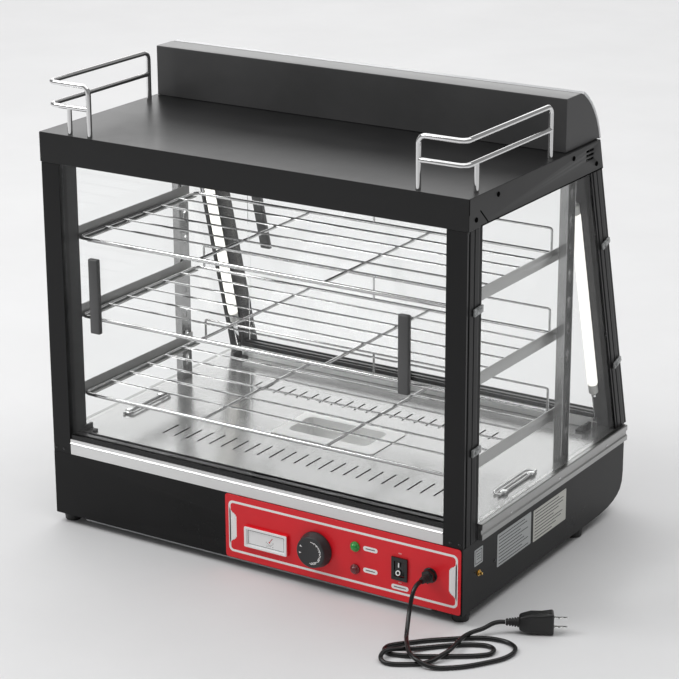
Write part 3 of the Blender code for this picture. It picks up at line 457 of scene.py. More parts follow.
def sweep(shape, route, radius, sides=12):
    """A round bar along a route of case-frame points: one circle, extruded from point to point."""
    points = [at(*p) for p in route]
    places, turn = [], None
    for i, point in enumerate(points):
        ahead = (points[min(i + 1, len(points) - 1)] - points[max(i - 1, 0)]).normalized()
        turn = ahead.to_track_quat("Z", "Y") if turn is None else \
            (turn @ Vector((0, 0, 1))).rotation_difference(ahead) @ turn
        places.append(Matrix.Translation(point) @ turn.to_matrix().to_4x4())
    ring = bmesh.ops.create_circle(shape, cap_ends=True, segments=sides, radius=radius,
                                   matrix=places[0])["verts"]
    faces = {f for v in ring for f in v.link_faces}
    edges = list({e for v in ring for e in v.link_edges})
    for before, place in zip(places, places[1:]):
        grown = bmesh.ops.extrude_edge_only(shape, edges=edges)["geom"]
        ring = [v for v in grown if isinstance(v, bmesh.types.BMVert)]
        faces |= {f for f in grown if isinstance(f, bmesh.types.BMFace)}
        bmesh.ops.transform(shape, matrix=place @ before.inverted(), verts=ring)
        new = set(ring)
        edges = [e for e in grown if isinstance(e, bmesh.types.BMEdge) and set(e.verts) <= new]
    faces |= set(bmesh.ops.contextual_create(shape, geom=edges)["faces"])
    bmesh.ops.recalc_face_normals(shape, faces=list(faces))


def disc(shape, centre, axis, radius, depth, sides=20, edge=0.0, top=None):
    """A short cylinder that stands out from a point along an axis."""
    axis = Vector(axis)
    turn = axis.to_track_quat("Z", "Y").to_matrix().to_4x4()
    middle = at(*centre) + axis * depth / 2
    made = bmesh.ops.create_cone(shape, cap_ends=True, segments=sides, radius1=radius,
                                 radius2=radius if top is None else top, depth=depth,
                                 matrix=Matrix.Translation(middle) @ turn)["verts"]
    if edge:
        far = (middle + axis * depth / 2)
        rim = [e for e in {e for v in made for e in v.link_edges}
               if all(abs((v.co - far).dot(axis)) < 1e-5 for v in e.verts)]
        round_off(shape, rim, edge, 3, clamp=False)


def upright_at(centre, axis):
    """A place at a case-frame point whose local Z runs along an axis."""
    return Matrix.Translation(at(*centre)) @ Vector(axis).to_track_quat("Z", "Y").to_matrix().to_4x4()


def spun_along(shape, profile, place, steps=40):
    """A turned shape about the local Z of a place: (radius, distance along) pairs."""
    line = [shape.verts.new(place @ Vector((radius, 0, out))) for radius, out in profile]
    edges = [shape.edges.new(pair) for pair in zip(line, line[1:])]
    axis = (place.to_3x3() @ Vector((0, 0, 1))).normalized()
    bmesh.ops.spin(shape, geom=line + edges, cent=place.translation, axis=axis, angle=math.tau, steps=steps,
                   use_merge=True, dvec=(0, 0, 0))
    bmesh.ops.remove_doubles(shape, verts=shape.verts, dist=1e-6)
    bmesh.ops.recalc_face_normals(shape, faces=shape.faces)


def turned(shape, profile, centre, axis, steps=40):
    """A turned shape about an axis through a point of the case frame."""
    spun_along(shape, profile, upright_at(centre, axis), steps)


def softened(node, skin, edge, body="cabinet", angle=30):
    """Stands for a CAD piece whose shape is right: the same shape with its folded edges rounded."""
    shape = bmesh.new()
    shape.from_mesh(frame["nodes"][node].data)
    bmesh.ops.remove_doubles(shape, verts=shape.verts, dist=2e-5)
    bmesh.ops.dissolve_limit(shape, angle_limit=math.radians(1), verts=shape.verts, edges=shape.edges)
    rim = [e for e in shape.edges if e.is_manifold and e.calc_face_angle(0) > math.radians(angle)]
    round_off(shape, rim, edge)
    return piece(f"{node}_skin", shape, skin, body, [node], sharp=20)


def dress(node, skin):
    """Keeps a CAD piece as it is, and gives it a finish."""
    mesh = frame["nodes"][node].data
    mesh.materials.clear()
    mesh.materials.append(skin)


# ---------------------------------------------------------------- mains cord, gland and plug
CORD_DIAMETER = 0.0058
CORD_ROUTE = [
    (0.6130, -0.0244, 0.0500), (0.6130, -0.0320, 0.0500), (0.6131, -0.0405, 0.0468),
    (0.6138, -0.0485, 0.0378), (0.6158, -0.0580, 0.0225), (0.6230, -0.0750, 0.0080),
    (0.6300, -0.0890, 0.0020), (0.6390, -0.1020, 0.0008), (0.6480, -0.1140, -0.0008),
    (0.6590, -0.1230, -0.0018), (0.6690, -0.1270, -0.0032), (0.6810, -0.1270, -0.0064),
    (0.6930, -0.1230, -0.0085), (0.7060, -0.1140, -0.0090), (0.7220, -0.0990, -0.0090),
    (0.7370, -0.0790, -0.0090), (0.7500, -0.0570, -0.0090), (0.7540, -0.0370, -0.0090),
    (0.7480, -0.0210, -0.0090), (0.7310, -0.0130, -0.0090), (0.7080, -0.0160, -0.0090),
    (0.6860, -0.0280, -0.0090), (0.6660, -0.0440, -0.0090), (0.6450, -0.0620, -0.0090),
    (0.6290, -0.0790, -0.0090), (0.6170, -0.0920, -0.0090), (0.6110, -0.1020, -0.0090),
    (0.6120, -0.1130, -0.0090), (0.6210, -0.1190, -0.0090), (0.6330, -0.1170, -0.0090),
    (0.6490, -0.1110, -0.0090), (0.6690, -0.1000, -0.0090), (0.6910, -0.0860, -0.0090),
    (0.7120, -0.0720, -0.0090), (0.7250, -0.0610, -0.0090), (0.7310, -0.0520, -0.0090),
    (0.7290, -0.0410, -0.0090), (0.7210, -0.0360, -0.0090), (0.7100, -0.0370, -0.0090),
    (0.6930, -0.0460, -0.0090), (0.6730, -0.0620, -0.0090), (0.6560, -0.0790, -0.0087),
    (0.6440, -0.0940, -0.0074), (0.6350, -0.1070, -0.0046), (0.6260, -0.1190, -0.0027),
    (0.6200, -0.1280, -0.0040), (0.6220, -0.1380, -0.0070), (0.6300, -0.1430, -0.0089),
    (0.6410, -0.1420, -0.0090), (0.6540, -0.1350, -0.0090), (0.6700, -0.1230, -0.0090),
    (0.6800, -0.1100, -0.0077), (0.6860, -0.0970, -0.0040), (0.6890, -0.0840, -0.0026),
    (0.6880, -0.0700, -0.0027), (0.6860, -0.0540, -0.0026), (0.6850, -0.0380, -0.0027),
    (0.6870, -0.0220, -0.0034), (0.6935, -0.0055, -0.0034), (0.7010, 0.0050, 0.0010),
    (0.7075, 0.0106, 0.0029), (0.7146, 0.01477, 0.0032),
]


def smooth_route(corners, steps):
    """Points along a smooth curve through the route's own points."""
    corners = [Vector(corner) for corner in corners]
    ends = [corners[0] * 2 - corners[1]] + corners + [corners[-1] * 2 - corners[-2]]
    fine = []
    for before, start, end, after in zip(ends, ends[1:], ends[2:], ends[3:]):
        for i in range(steps):
            t = i / steps
            fine.append(0.5 * (2 * start + (end - before) * t
                               + (2 * before - 5 * start + 4 * end - after) * t ** 2
                               + (3 * start - before - 3 * end + after) * t ** 3))
    return fine + [corners[-1]]


def make_cord():
    """The mains cord from the gland's end to the plug's strain relief, lying in its loose coil."""
    route = smooth_route(CORD_ROUTE, 5)
    shape = bmesh.new()
    sweep(shape, route, CORD_DIAMETER / 2, 14)
    cord = piece("mains_cord", shape, CORD, replaces=["power_cord"])
    plug_parts = make_plug()


PLUG_AT = (0.7150, 0.0150, 0.0032)       # where the cord enters the plug's strain relief
PLUG_HEADING = math.radians(30.3)


def plug_place():
    return Matrix.Translation(at(*PLUG_AT)) @ Matrix.Rotation(PLUG_HEADING, 4, "Z")


def make_plug():
    """A moulded two-blade plug lying on its edge, made along +X and then turned to its heading."""
    relief_end, body_end, half_width, half_height = 0.017, 0.061, 0.0100, 0.0150
    shape = bmesh.new()
    body = bmesh.ops.create_cube(shape, size=1)["verts"]
    bmesh.ops.scale(shape, vec=(body_end - relief_end, 2 * half_width, 2 * half_height), verts=body)
    bmesh.ops.translate(shape, vec=((body_end + relief_end) / 2, 0, 0), verts=body)
    cord_side = [v for v in body if v.co.x < relief_end + 1e-4]
    bmesh.ops.scale(shape, vec=(1, 0.80, 0.62), verts=cord_side)
    waist = [e for e in shape.edges if abs(e.verts[0].co.x - e.verts[1].co.x) > 0.01]
    cuts = bmesh.ops.subdivide_edges(shape, edges=waist, cuts=2, use_grid_fill=True)["geom_inner"]
    rings = sorted({round(v.co.x, 5) for v in cuts if isinstance(v, bmesh.types.BMVert)})
    middle = [v for v in shape.verts if abs(v.co.x - rings[0]) < 1e-4]
    bmesh.ops.scale(shape, vec=(1, 1.06, 1.18), verts=middle)
    round_off(shape, [e for e in shape.edges if e.calc_face_angle(0) > 0.5], 0.0030, 4)
    bmesh.ops.transform(shape, matrix=plug_place(), verts=shape.verts)
    body = piece("plug_body", shape, PLASTIC, replaces=["power_plug"], sharp=50)

    shape = bmesh.new()
    profile = [(0.0, 0.0), (0.0036, 0.0)]
    for i in range(5):                   # ribs that grow towards the plug
        start = 0.0010 + i * 0.0034
        full = 0.0046 + 0.0005 * i
        profile += [(full, start), (full, start + 0.0020), (full - 0.0011, start + 0.0024),
                    (full - 0.0011, start + 0.0032)]
    profile += [(0.0066, 0.0185), (0.0, 0.0185)]
    spun_along(shape, profile, plug_place() @ Matrix.Rotation(math.pi / 2, 4, "Y"), 24)
    relief = piece("plug_strain_relief", shape, RUBBER)

    shape = bmesh.new()
    for side in (-1, 1):
        blade = bmesh.ops.create_cube(shape, size=1)["verts"]
        bmesh.ops.scale(shape, vec=(0.0185, 0.0062, 0.0015), verts=blade)
        bmesh.ops.translate(shape, vec=(body_end + 0.0087, 0, side * 0.00635), verts=blade)
        tip = [v for v in blade if v.co.x > body_end + 0.01]
        bmesh.ops.scale(shape, vec=(1, 0.82, 0.6), verts=tip,
                        space=Matrix.Translation((0, 0, -side * 0.00635)))
    round_off(shape, shape.edges[:], 0.0003)
    bmesh.ops.transform(shape, matrix=plug_place(), verts=shape.verts)
    blades = piece("plug_blades", shape, CHROME)
    return [body, relief, blades]


FRONT = Matrix(((1, 0, 0), (0, 0, -1), (0, 1, 0))).to_4x4()       # flat drawings stand facing the operator


def lettering(shape, text, size, centre, facing=FRONT, turn=0.0, depth=0.00006, at_radius=0.0):
    """Flat numerals or marks, made a mesh, stood in a facing plane round a point."""
    curve = bpy.data.curves.new("mark", "FONT")
    curve.body, curve.size, curve.extrude = text, size, depth
    curve.align_x, curve.align_y = "CENTER", "CENTER"
    curve.resolution_u = 3
    obj = bpy.data.objects.new("mark", curve)
    bpy.context.scene.collection.objects.link(obj)
    bpy.context.view_layer.update()
    mesh = bpy.data.meshes.new_from_object(obj.evaluated_get(bpy.context.evaluated_depsgraph_get()))
    bpy.data.objects.remove(obj, do_unlink=True)
    start = len(shape.verts)
    shape.from_mesh(mesh)
    shape.verts.ensure_lookup_table()
    bpy.data.meshes.remove(mesh)
    place = Matrix.Translation(at(*centre)) @ facing @ Matrix.Rotation(turn, 4, "Z") \
        @ Matrix.Translation((at_radius, 0, 0))
    bmesh.ops.transform(shape, matrix=place, verts=shape.verts[start:])


def ring(shape, outer, inner, plane, low, high):
    """A flat frame between two outlines with the same number of points."""
    place = PLANES[plane]
    loops = []
    for outline in (outer, inner):
        verts = [shape.verts.new(place(u, v, low)) for u, v in outline]
        loops += [shape.edges.new(pair) for pair in zip(verts, verts[1:] + verts[:1])]
    flat = bmesh.ops.bridge_loops(shape, edges=loops)["faces"]
    pushed = bmesh.ops.extrude_face_region(shape, geom=flat)["geom"]
    moved = [v for v in pushed if isinstance(v, bmesh.types.BMVert)]
    bmesh.ops.translate(shape, vec=place(0, 0, high) - place(0, 0, low), verts=moved)
    bmesh.ops.recalc_face_normals(shape, faces=list({f for v in moved for f in v.link_faces} | set(flat)))


def one(name, maker, skin, *given, body="cabinet", slot=None, replaces=(), sharp=38, **more):
    """A piece of a single made shape."""
    shape = bmesh.new()
    maker(shape, *given, **more)
    return piece(name, shape, skin, body, replaces, sharp)


# ---------------------------------------------------------------- base, deck, trims
def make_base():
    softened("base_shell", BLACK, 0.0006)
    softened("bottom_plate", GALVANISED, 0.0004)
    for end in ("near", "far"):
        for side in ("left", "right"):
            softened(f"foot_{end}_{side}", RUBBER, 0.0012)
    dress("deck_plate", DECK_STEEL)
    dress("trim_front", STEEL)
    dress("trim_left", STEEL_SIDE)
    dress("trim_right", STEEL_SIDE)
    softened("rear_curb", CURB_STEEL, 0.0004)
    softened("water_pan", PAN_STEEL, 0.0004, "pan")
    dress("heating_element", HEATER)
    for low, high in ((0.060, 0.235), (0.330, 0.520)):       # bright edges of the service tray's flange
        one(f"tray_flange_{low:.2f}".replace(".", "_"), block, GALVANISED, (low, 0.0145, -0.0062),
            (high, 0.0152, -0.0012), 0.0002, slot="galvanised")
    shape = bmesh.new()
    for x in (0.005, 0.0186, WIDTH - 0.0186, WIDTH - 0.005):
        screw_head(shape, (x, 0.0, 0.1015), (0, -1, 0), 0.0024)
    piece("post_foot_screws", shape, GLOSS_PLASTIC)


def screw_head(shape, centre, axis, radius):
    """A pan-head screw with a dished drive recess."""
    height = radius * 0.42
    spun_along(shape, [(0, height * 0.55), (radius * 0.22, height * 0.55), (radius * 0.28, height),
                       (radius * 0.6, height * 0.92), (radius * 0.9, height * 0.55), (radius, 0.0), (0, 0.0)],
               upright_at(centre, axis), 16)


def make_side_fittings():
    """Labels, earth screw and fixings on the right side of the base, and the trims' screws."""
    face = WIDTH
    for name, low, high, skin in (("label_small", (0.030, 0.060), (0.052, 0.083), LABEL_GREY),
                                  ("label_near", (0.091, 0.0365), (0.184, 0.0825), LABEL_GREY),
                                  ("label_far", (0.191, 0.035), (0.286, 0.0805), LABEL_CREAM)):
        one(name, prism, skin, rounded(*low, *high, 0.0015), "yz", face, face + 0.00025, slot="black_paint")
    shape = bmesh.new()
    chance = random.Random(7)
    for left, right, top, low, rows in ((0.095, 0.180, 0.078, 0.040, 9), (0.195, 0.282, 0.076, 0.039, 9)):
        for i in range(rows):
            z = top - (top - low) * i / (rows - 1)
            end = right - (right - left) * chance.uniform(0.02, 0.45)
            prism(shape, [(left, z - 0.0006), (end, z - 0.0006), (end, z + 0.0006), (left, z + 0.0006)],
                  "yz", face + 0.00025, face + 0.00032)
    ring(shape, [(0.0325, 0.0625), (0.0495, 0.0625), (0.0495, 0.0805), (0.0325, 0.0805)],
         [(0.0335, 0.0635), (0.0485, 0.0635), (0.0485, 0.0795), (0.0335, 0.0795)], "yz", face + 0.00025,
         face + 0.00032)
    for z in (0.068, 0.0715, 0.075):
        prism(shape, [(0.0360, z), (0.0460, z), (0.0460, z + 0.0009), (0.0360, z + 0.0009)], "yz",
              face + 0.00025, face + 0.00032)
    piece("label_rules", shape, INK)

    shape = bmesh.new()
    disc(shape, (face, 0.042, 0.048), (1, 0, 0), 0.0044, 0.0008, 24)
    disc(shape, (face + 0.0008, 0.042, 0.048), (1, 0, 0), 0.0036, 0.0018, 6, 0.0004)
    disc(shape, (face + 0.0026, 0.042, 0.048), (1, 0, 0), 0.0019, 0.0030, 16, 0.0003)
    piece("earth_screw", shape, BRASS)
    shape = bmesh.new()
    for y, z, radius in ((0.032, 0.052, 0.0017), (0.084, 0.049, 0.0022)):
        screw_head(shape, (face, y, z), (1, 0, 0), radius)
    piece("side_rivets", shape, GLOSS_PLASTIC)
    shape = bmesh.new()
    for x, way in ((-0.0065, -1), (WIDTH + 0.0065, 1)):
        for y in (0.120, 0.257, 0.400):
            screw_head(shape, (x - way * 0.0022, y, 0.1055), (way, 0, 0), 0.0022)
    piece("trim_screws", shape, CHROME)


# ---------------------------------------------------------------- posts, tracks, panes, cap, hood
def grooved(low_x, high_x, near, far, outer_low):
    """A post's section, with three grooves down its outer side."""
    mouth, depth = 0.0013, 0.0011
    grooves = [near + (far - near) * share for share in (0.22, 0.50, 0.78)]
    edge, way = (low_x, 1) if outer_low else (high_x, -1)
    side = []
    for y in grooves:
        side += [(edge, y - mouth), (edge + way * depth, y - mouth * 0.6),
                 (edge + way * depth, y + mouth * 0.6),
                 (edge, y + mouth)]
    if outer_low:
        return [(low_x, near)] + side + [(low_x, far), (high_x, far), (high_x, near)]
    return [(high_x, near)] + side + [(high_x, far), (low_x, far), (low_x, near)]


def raised(shape, outline, low_z, offset, edge=0.0):
    """A section at a height, pushed along an offset."""
    flat = [shape.verts.new(at(x, y, low_z)) for x, y in outline]
    face = bmesh.ops.contextual_create(shape, geom=flat)["faces"]
    pushed = bmesh.ops.extrude_face_region(shape, geom=face)["geom"]
    moved = [v for v in pushed if isinstance(v, bmesh.types.BMVert)]
    bmesh.ops.translate(shape, vec=offset, verts=moved)
    faces = list({f for v in flat + moved for f in v.link_faces})
    bmesh.ops.recalc_face_normals(shape, faces=faces)
    if edge:
        upright = Vector(offset).normalized()
        rim = [e for e in {e for f in faces for e in f.edges} if e.calc_face_angle(0) > 1.2
               and abs((e.verts[1].co - e.verts[0].co).normalized().dot(upright)) > 0.9]
        round_off(shape, rim, edge)


POST_WIDTH, NEAR_DEPTH, FAR_DEPTH, FRAME_TOP = 0.0296, 0.038, 0.033, 0.513
TONGUE_TOP = 0.550


def make_posts():
    for side, low in (("left", 0.0), ("right", WIDTH - POST_WIDTH)):
        outer_low = side == "left"
        shape = bmesh.new()
        foot = 0.0953
        section = grooved(low, low + POST_WIDTH, 0, NEAR_DEPTH, outer_low)
        raised(shape, section, foot, (0, 0, FRAME_TOP - foot), 0.0005)
        raised(shape, grooved(low, low + POST_WIDTH, 0.002, NEAR_DEPTH - 0.002, outer_low), FRAME_TOP - 0.001,
               (0, 0, TONGUE_TOP - FRAME_TOP))
        piece(f"near_post_{side}_profile", shape, ANODISED,
              replaces=[f"near_post_{side}"], sharp=20)
        shape = bmesh.new()
        foot = DECK + 0.0003
        section = grooved(low, low + POST_WIDTH, leaning(foot, FAR_DEPTH), leaning(foot), outer_low)
        raised(shape, section, foot, (0, -LEAN * (FRAME_TOP - foot), FRAME_TOP - foot), 0.0005)
        top = FRAME_TOP - 0.001
        section = grooved(low, low + POST_WIDTH, leaning(top, 0.030), leaning(top, 0.0025), outer_low)
        raised(shape, section, top, (0, -LEAN * (TONGUE_TOP - top), TONGUE_TOP - top - 0.003))
        piece(f"far_post_{side}_profile", shape, ANODISED,
              replaces=[f"far_post_{side}"], sharp=20)
        dress(f"side_glass_{side}", GLASS)
    for name in ("near_track_lower", "near_track_upper", "far_track_lower", "far_track_upper"):
        softened(name, TRACK, 0.0003)
    make_post_feet()
    make_clips()


def make_post_feet():
    """Small black angle blocks that hold the posts to the deck."""
    shape = bmesh.new()
    top = DECK + 0.0004
    for low, high, near, far in ((0.0300, 0.0430, 0.0300, 0.0470),
                                 (WIDTH - 0.0430, WIDTH - 0.0300, 0.0300, 0.0470),
                                 (0.0300, 0.0450, 0.3980, 0.4180),
                                 (WIDTH - 0.0450, WIDTH - 0.0300, 0.3980, 0.4180)):
        block(shape, (low, near, top), (high, far, top + 0.0030), 0.0006)
        inner = (low, low + 0.0042) if low < 0.3 else (high - 0.0042, high)
        block(shape, (inner[0], near, top + 0.0026), (inner[1], far, top + 0.0110), 0.0006)
        aside = 0.002 if low < 0.3 else -0.002
        screw_head(shape, ((low + high) / 2 + aside, (near + far) / 2, top + 0.0030), (0, 0, 1), 0.0022)
    piece("post_foot_brackets", shape, PLASTIC)


def make_clips():
    """Translucent hinged clips that hold the side panes to the posts."""
    shape = bmesh.new()
    for side in (0, 1):
        face = -0.0002 if side == 0 else WIDTH + 0.0002
        out = -1 if side == 0 else 1
        for z, near, far in ((0.406, 0.016, 0.038), (0.220, 0.016, 0.038)):
            clip(shape, face, out, [(near, z - 0.0050), (far, z - 0.0035), (far, z + 0.0065),
                                    (near, z + 0.0050)])
        for z in (0.404, 0.219):
            middle = leaning(z, 0.013)
            clip(shape, face, out, [(middle - 0.010, z - 0.0065), (middle + 0.011, z + 0.0010),
                                    (middle + 0.008, z + 0.0085), (middle - 0.012, z + 0.0020)])
    piece("pane_clips", shape, CLIP)


def clip(shape, face, out, outline):
    faces = (face - 0.0032, face) if out < 0 else (face, face + 0.0032)
    prism(shape, outline, "yz", *faces, 0.0010)
    middle = Vector((sum(p[0] for p in outline) / 4, sum(p[1] for p in outline) / 4))
    small = [tuple(middle + (Vector(p) - middle) * 0.55) for p in outline]
    proud = 0.0016
    prism(shape, small, "yz", faces[0] - (proud if out < 0 else 0),
          faces[1] + (proud if out > 0 else 0), 0.0006)


def make_doors():
    for side in ("left", "right"):
        for end in ("near", "far"):
            dress(f"{end}_door_{side}_glass", GLASS)
            softened(f"{end}_door_{side}_handle", HANDLE, 0.0010, f"{end}_{side}_door")


def make_top():
    cap = softened("top_cap", CAP_TOP_PAINTED_SHEEN, 0.0007)
    cap.data.materials.append(CAP_SIDE_PAINTED_SHADE)              # the cap's folded sides take a duller, darker copy of its black coat as painted shade, against the painted sheen of its upward faces
    for face in cap.data.polygons:
        face.material_index = 0 if abs(face.normal.z) > 0.7 else 1
    softened("hood_box", HOOD_BLACK, 0.0006)
    softened("hood_curved_panel", HOOD_PANEL, 0.0003)
    near, far, top = 0.2629, 0.2995, 0.6258
    # a thin light grey sheet laid on the hood's black top: painted reflection
    one("hood_top_reflection_sheet", block, HOOD_TOP_REFLECTION, (0.0032, near, top - 0.0002),
        (WIDTH - 0.0032, far, top + 0.0006), 0.0003,
        slot="grey_paint")
    shape = bmesh.new()
    for x, way in ((-0.0018, -1), (WIDTH + 0.0018, 1)):
        for y, z in ((0.0183, 0.5249), (0.0731, 0.5448), (0.2769, 0.5453), (0.3440, 0.5240)):
            screw_head(shape, (x, y, z), (way, 0, 0), 0.0034)
    piece("cap_screws", shape, SEAM_AND_SHADE_BLACK)
    shape = bmesh.new()
    for x, way in ((-0.0018, -1), (WIDTH + 0.0018, 1)):
        spread = sorted((x, x + way * 0.00012))
        prism(shape, [(0.0270, 0.5340), (0.0290, 0.5350), (0.0500, 0.5150), (0.0482, 0.5142)], "yz", *spread)
        prism(shape, [(0.0300, 0.5136), (0.3630, 0.5136), (0.3630, 0.5152), (0.0300, 0.5152)], "yz", *spread)
        prism(shape, [(0.0005, 0.5340), (0.0018, 0.5340), (0.0018, 0.5540), (0.0005, 0.5540)], "yz", *spread)
    piece("cap_seams", shape, SEAM_AND_SHADE_BLACK)


# ---------------------------------------------------------------- chrome rails, shelves, uprights
def make_guard_rail(name, corner_x, inner_x, short_post):
    radius, bend = 0.0035, 0.010
    front, back = 0.009, 0.230
    foot, middle, top = CAP_TOP + 0.0003, 0.592, 0.623
    shape = bmesh.new()
    sweep(shape, bent([(inner_x, front, foot), (inner_x, front, top), (corner_x, front, top),
                       (corner_x, back, top), (corner_x, back, foot)], bend), radius, 18)
    sweep(shape, bent([(inner_x, front, middle), (corner_x, front, middle), (corner_x, back, middle)], bend),
          radius * 0.96, 18)
    sweep(shape, [(*short_post, foot), (*short_post, middle)], radius * 0.94, 18)
    piece(f"{name}_bars", shape, CHROME, replaces=[name])


def make_shelf(tier, height):
    """Welded chrome wires in a bent frame, with a raised stop wire along the customer's side."""
    rod, wire = 0.0025, 0.0015
    left, right, front, back = 0.033, WIDTH - 0.033, 0.032, 0.306
    shape = bmesh.new()
    middle = (left + right) / 2
    sweep(shape, bent([(middle, front, height), (right, front, height), (right, back, height),
                       (left, back, height),
                       (left, front, height), (middle, front, height)], 0.010, 6), rod, 12)
    for y in (0.091, 0.134, 0.177, 0.220, 0.263):
        sweep(shape, [(left, y, height + 0.0008), (right, y, height + 0.0008)], wire, 8)
    for x in (0.230, 0.427):
        sweep(shape, [(x, front, height - 0.0026), (x, back, height - 0.0026)], rod * 0.9, 10)
    sweep(shape, [(0.043, 0.0400, height - 0.0046), (WIDTH - 0.043, 0.0400, height - 0.0046)], rod * 0.85, 10)
    stop_y, stop_z, stop_radius = 0.3055, height + 0.034, 0.00175
    sweep(shape, bent([(0.047, stop_y, height), (0.047, stop_y, stop_z), (0.618, stop_y, stop_z),
                       (0.618, stop_y, height)], 0.0035, 4), stop_radius, 10)
    sweep(shape, [(0.340, stop_y, height), (0.340, stop_y, stop_z)], stop_radius * 0.95, 10)
    piece(f"wire_shelf_{tier}_wires", shape, WIRE, replaces=[f"wire_shelf_{tier}"])


def make_shelf_fittings():
    for side in ("left", "right"):
        dress(f"upright_{side}", STEEL_UP)
        for tier in SHELVES:
            softened(f"shelf_bracket_{tier}_{side}", STEEL_SIDE, 0.0003)


def make_lamp(side):
    """A lit glass tube along the leaning post, in a holder at each end with a bent bracket."""
    x = 0.025 if side == "left" else WIDTH - 0.025
    inset, glass = 0.0425, 0.0072
    low, high = Vector((x, leaning(0.176, inset), 0.176)), Vector((x, leaning(0.466, inset), 0.466))
    axis = (high - low).normalized()
    length = (high - low).length
    place = upright_at(low, axis)
    shape = bmesh.new()
    spun_along(shape, [(0, 0.014), (glass * 0.92, 0.0142), (glass, 0.016), (glass, length - 0.016),
                       (glass * 0.92, length - 0.0142), (0, length - 0.014)], place, 28)
    piece(f"lamp_{side}_glass", shape, LAMP_GLOW, replaces=[f"lamp_tube_{side}"])
    shape = bmesh.new()
    cap = 0.0066
    for start, end in ((0.0, 0.0146), (length - 0.0146, length)):
        spun_along(shape, [(0, start), (cap * 0.9, start), (cap, start + 0.0006), (cap, end - 0.0006),
                           (cap * 0.9, end), (0, end)], place, 24)
    piece(f"lamp_{side}_caps", shape, LAMP_END)
    shape = bmesh.new()
    for z, reach in ((0.170, 0.134), (0.472, 0.5125)):
        y, end_y = leaning(z, inset), leaning(reach, inset)
        near, far = sorted((z, reach))
        low_y, high_y = (end_y, y) if reach < z else (y, end_y)
        prism(shape, [(low_y - 0.005, near), (low_y + 0.005, near),
                      (high_y + 0.005, far), (high_y - 0.005, far)],
              "yz", x - 0.0008, x + 0.0008, 0.0003)
        seat = z + (0.003 if reach < z else -0.003)
        sweep(shape, [(x, y, z), (x, leaning(seat, inset), seat)], 0.0036, 14)
    piece(f"lamp_{side}_brackets", shape, CHROME)


def make_deck_clips():
    """Bent wire pulls that lie on the deck at each end."""
    shape = bmesh.new()
    top = DECK + 0.0022
    for x, near, far in ((0.034, 0.122, 0.218), (WIDTH - 0.020, 0.133, 0.229)):
        out = 0.011 if x < 0.3 else -0.011
        sweep(shape, bent([(x, near, top), (x + out, near, top + 0.001), (x + out, far, top + 0.001),
                           (x, far, top)], 0.005, 5), 0.0017, 10)
        sweep(shape, [(x, near - 0.004, top), (x, far + 0.004, top)], 0.0019, 10)
        for y in (near + 0.010, far - 0.010):
            block(shape, (x - 0.0045, y - 0.005, DECK + 0.0001), (x + 0.0045, y + 0.005, DECK + 0.0050),
                  0.0012)
            screw_head(shape, (x + out * 0.45, y, DECK + 0.0004), (0, 0, 1), 0.0021)
    piece("deck_pulls", shape, CHROME)


SLOT_ROWS = ((0.088, 0.126), (0.307, 0.338))
SLOT_START, SLOT_PITCH, MARK_HALF_WIDTH = 0.1255, 0.020, 0.00135
SLOT_MARKS = 23                         # painted shade marks: the deck has 21 slots in a row; the last two marks have none


def make_painted_slot_shade():
    """A flat dark mark laid over each of the deck's slots, wider than the slot: painted shade for the hollow
    under it.
    """
    shape = bmesh.new()
    for low, high in SLOT_ROWS:
        for i in range(SLOT_MARKS):
            x = SLOT_START + i * SLOT_PITCH
            block(shape, (x - MARK_HALF_WIDTH, low + 0.0001, DECK + 0.00003),
                  (x + MARK_HALF_WIDTH, high - 0.0001, DECK + 0.00009))
    piece("deck_slot_painted_shade", shape, SEAM_AND_SHADE_BLACK)


# ---------------------------------------------------------------- control panel
PRINT = 0.00010


def print_outline(inset):
    """The outline of the panel's printed frame, a round-cornered rectangle moved in by an inset; the notched
    patch at each end is drawn by notches() and patches().
    """
    left, low, right, high = 0.2990 + inset, 0.0120 + inset, 0.6536 - inset, 0.0860 - inset
    return rounded(left, low, right, high, 0.0070 - inset * 0.8)


def make_panel():
    low, high = (0.2935, 0.0030), (0.658, 0.0947)
    one("control_panel_plate", prism, RED, rounded(*low, *high, 0.0042), "xz", PANEL_FACE, -0.0003, 0.0003,
        slot="red_paint", replaces=["control_panel"], sharp=20)
    face = PANEL_FACE
    legends = ((0.512, 0.0645, 0.022), (0.512, 0.0340, 0.022), (0.555, 0.0215, 0.026))
    shape = bmesh.new()
    ring(shape, print_outline(0), print_outline(0.0033), "xz", face - PRINT, face)
    for line in notches():
        prism(shape, line, "xz", face - PRINT, face)
    for x, z, length in legends:
        prism(shape, rounded(x, z - 0.0034, x + length, z + 0.0034, 0.0033), "xz", face - PRINT, face)
    piece("panel_print", shape, WHITE_PRINT)

    shape = bmesh.new()
    for x, z, length in legends:
        prism(shape, [(x + 0.004, z - 0.0006), (x + length - 0.004, z - 0.0006),
                      (x + length - 0.004, z + 0.0006),
                      (x + 0.004, z + 0.0006)], "xz", face - PRINT * 1.5, face - PRINT)
    piece("legend_rules", shape, INK)

    shape = bmesh.new()
    for outline in patches():
        prism(shape, outline, "xz", face - PRINT * 0.8, face)
    piece("panel_end_patches", shape, END_PATCH)
    shape = bmesh.new()
    for z in (0.0695, 0.0285):
        prism(shape, rounded(0.5655, z - 0.0009, 0.5705, z + 0.0009, 0.0008), "xz", face - PRINT, face)
    piece("rocker_marks", shape, PINK_PRINT)


HALF_NOTCH = ((0.0, 0.0262), (0.0010, 0.0236), (0.0035, 0.0212), (0.0070, 0.0194), (0.0095, 0.0174),
              (0.0108, 0.0150))
PATCH_EDGE = 0.3008


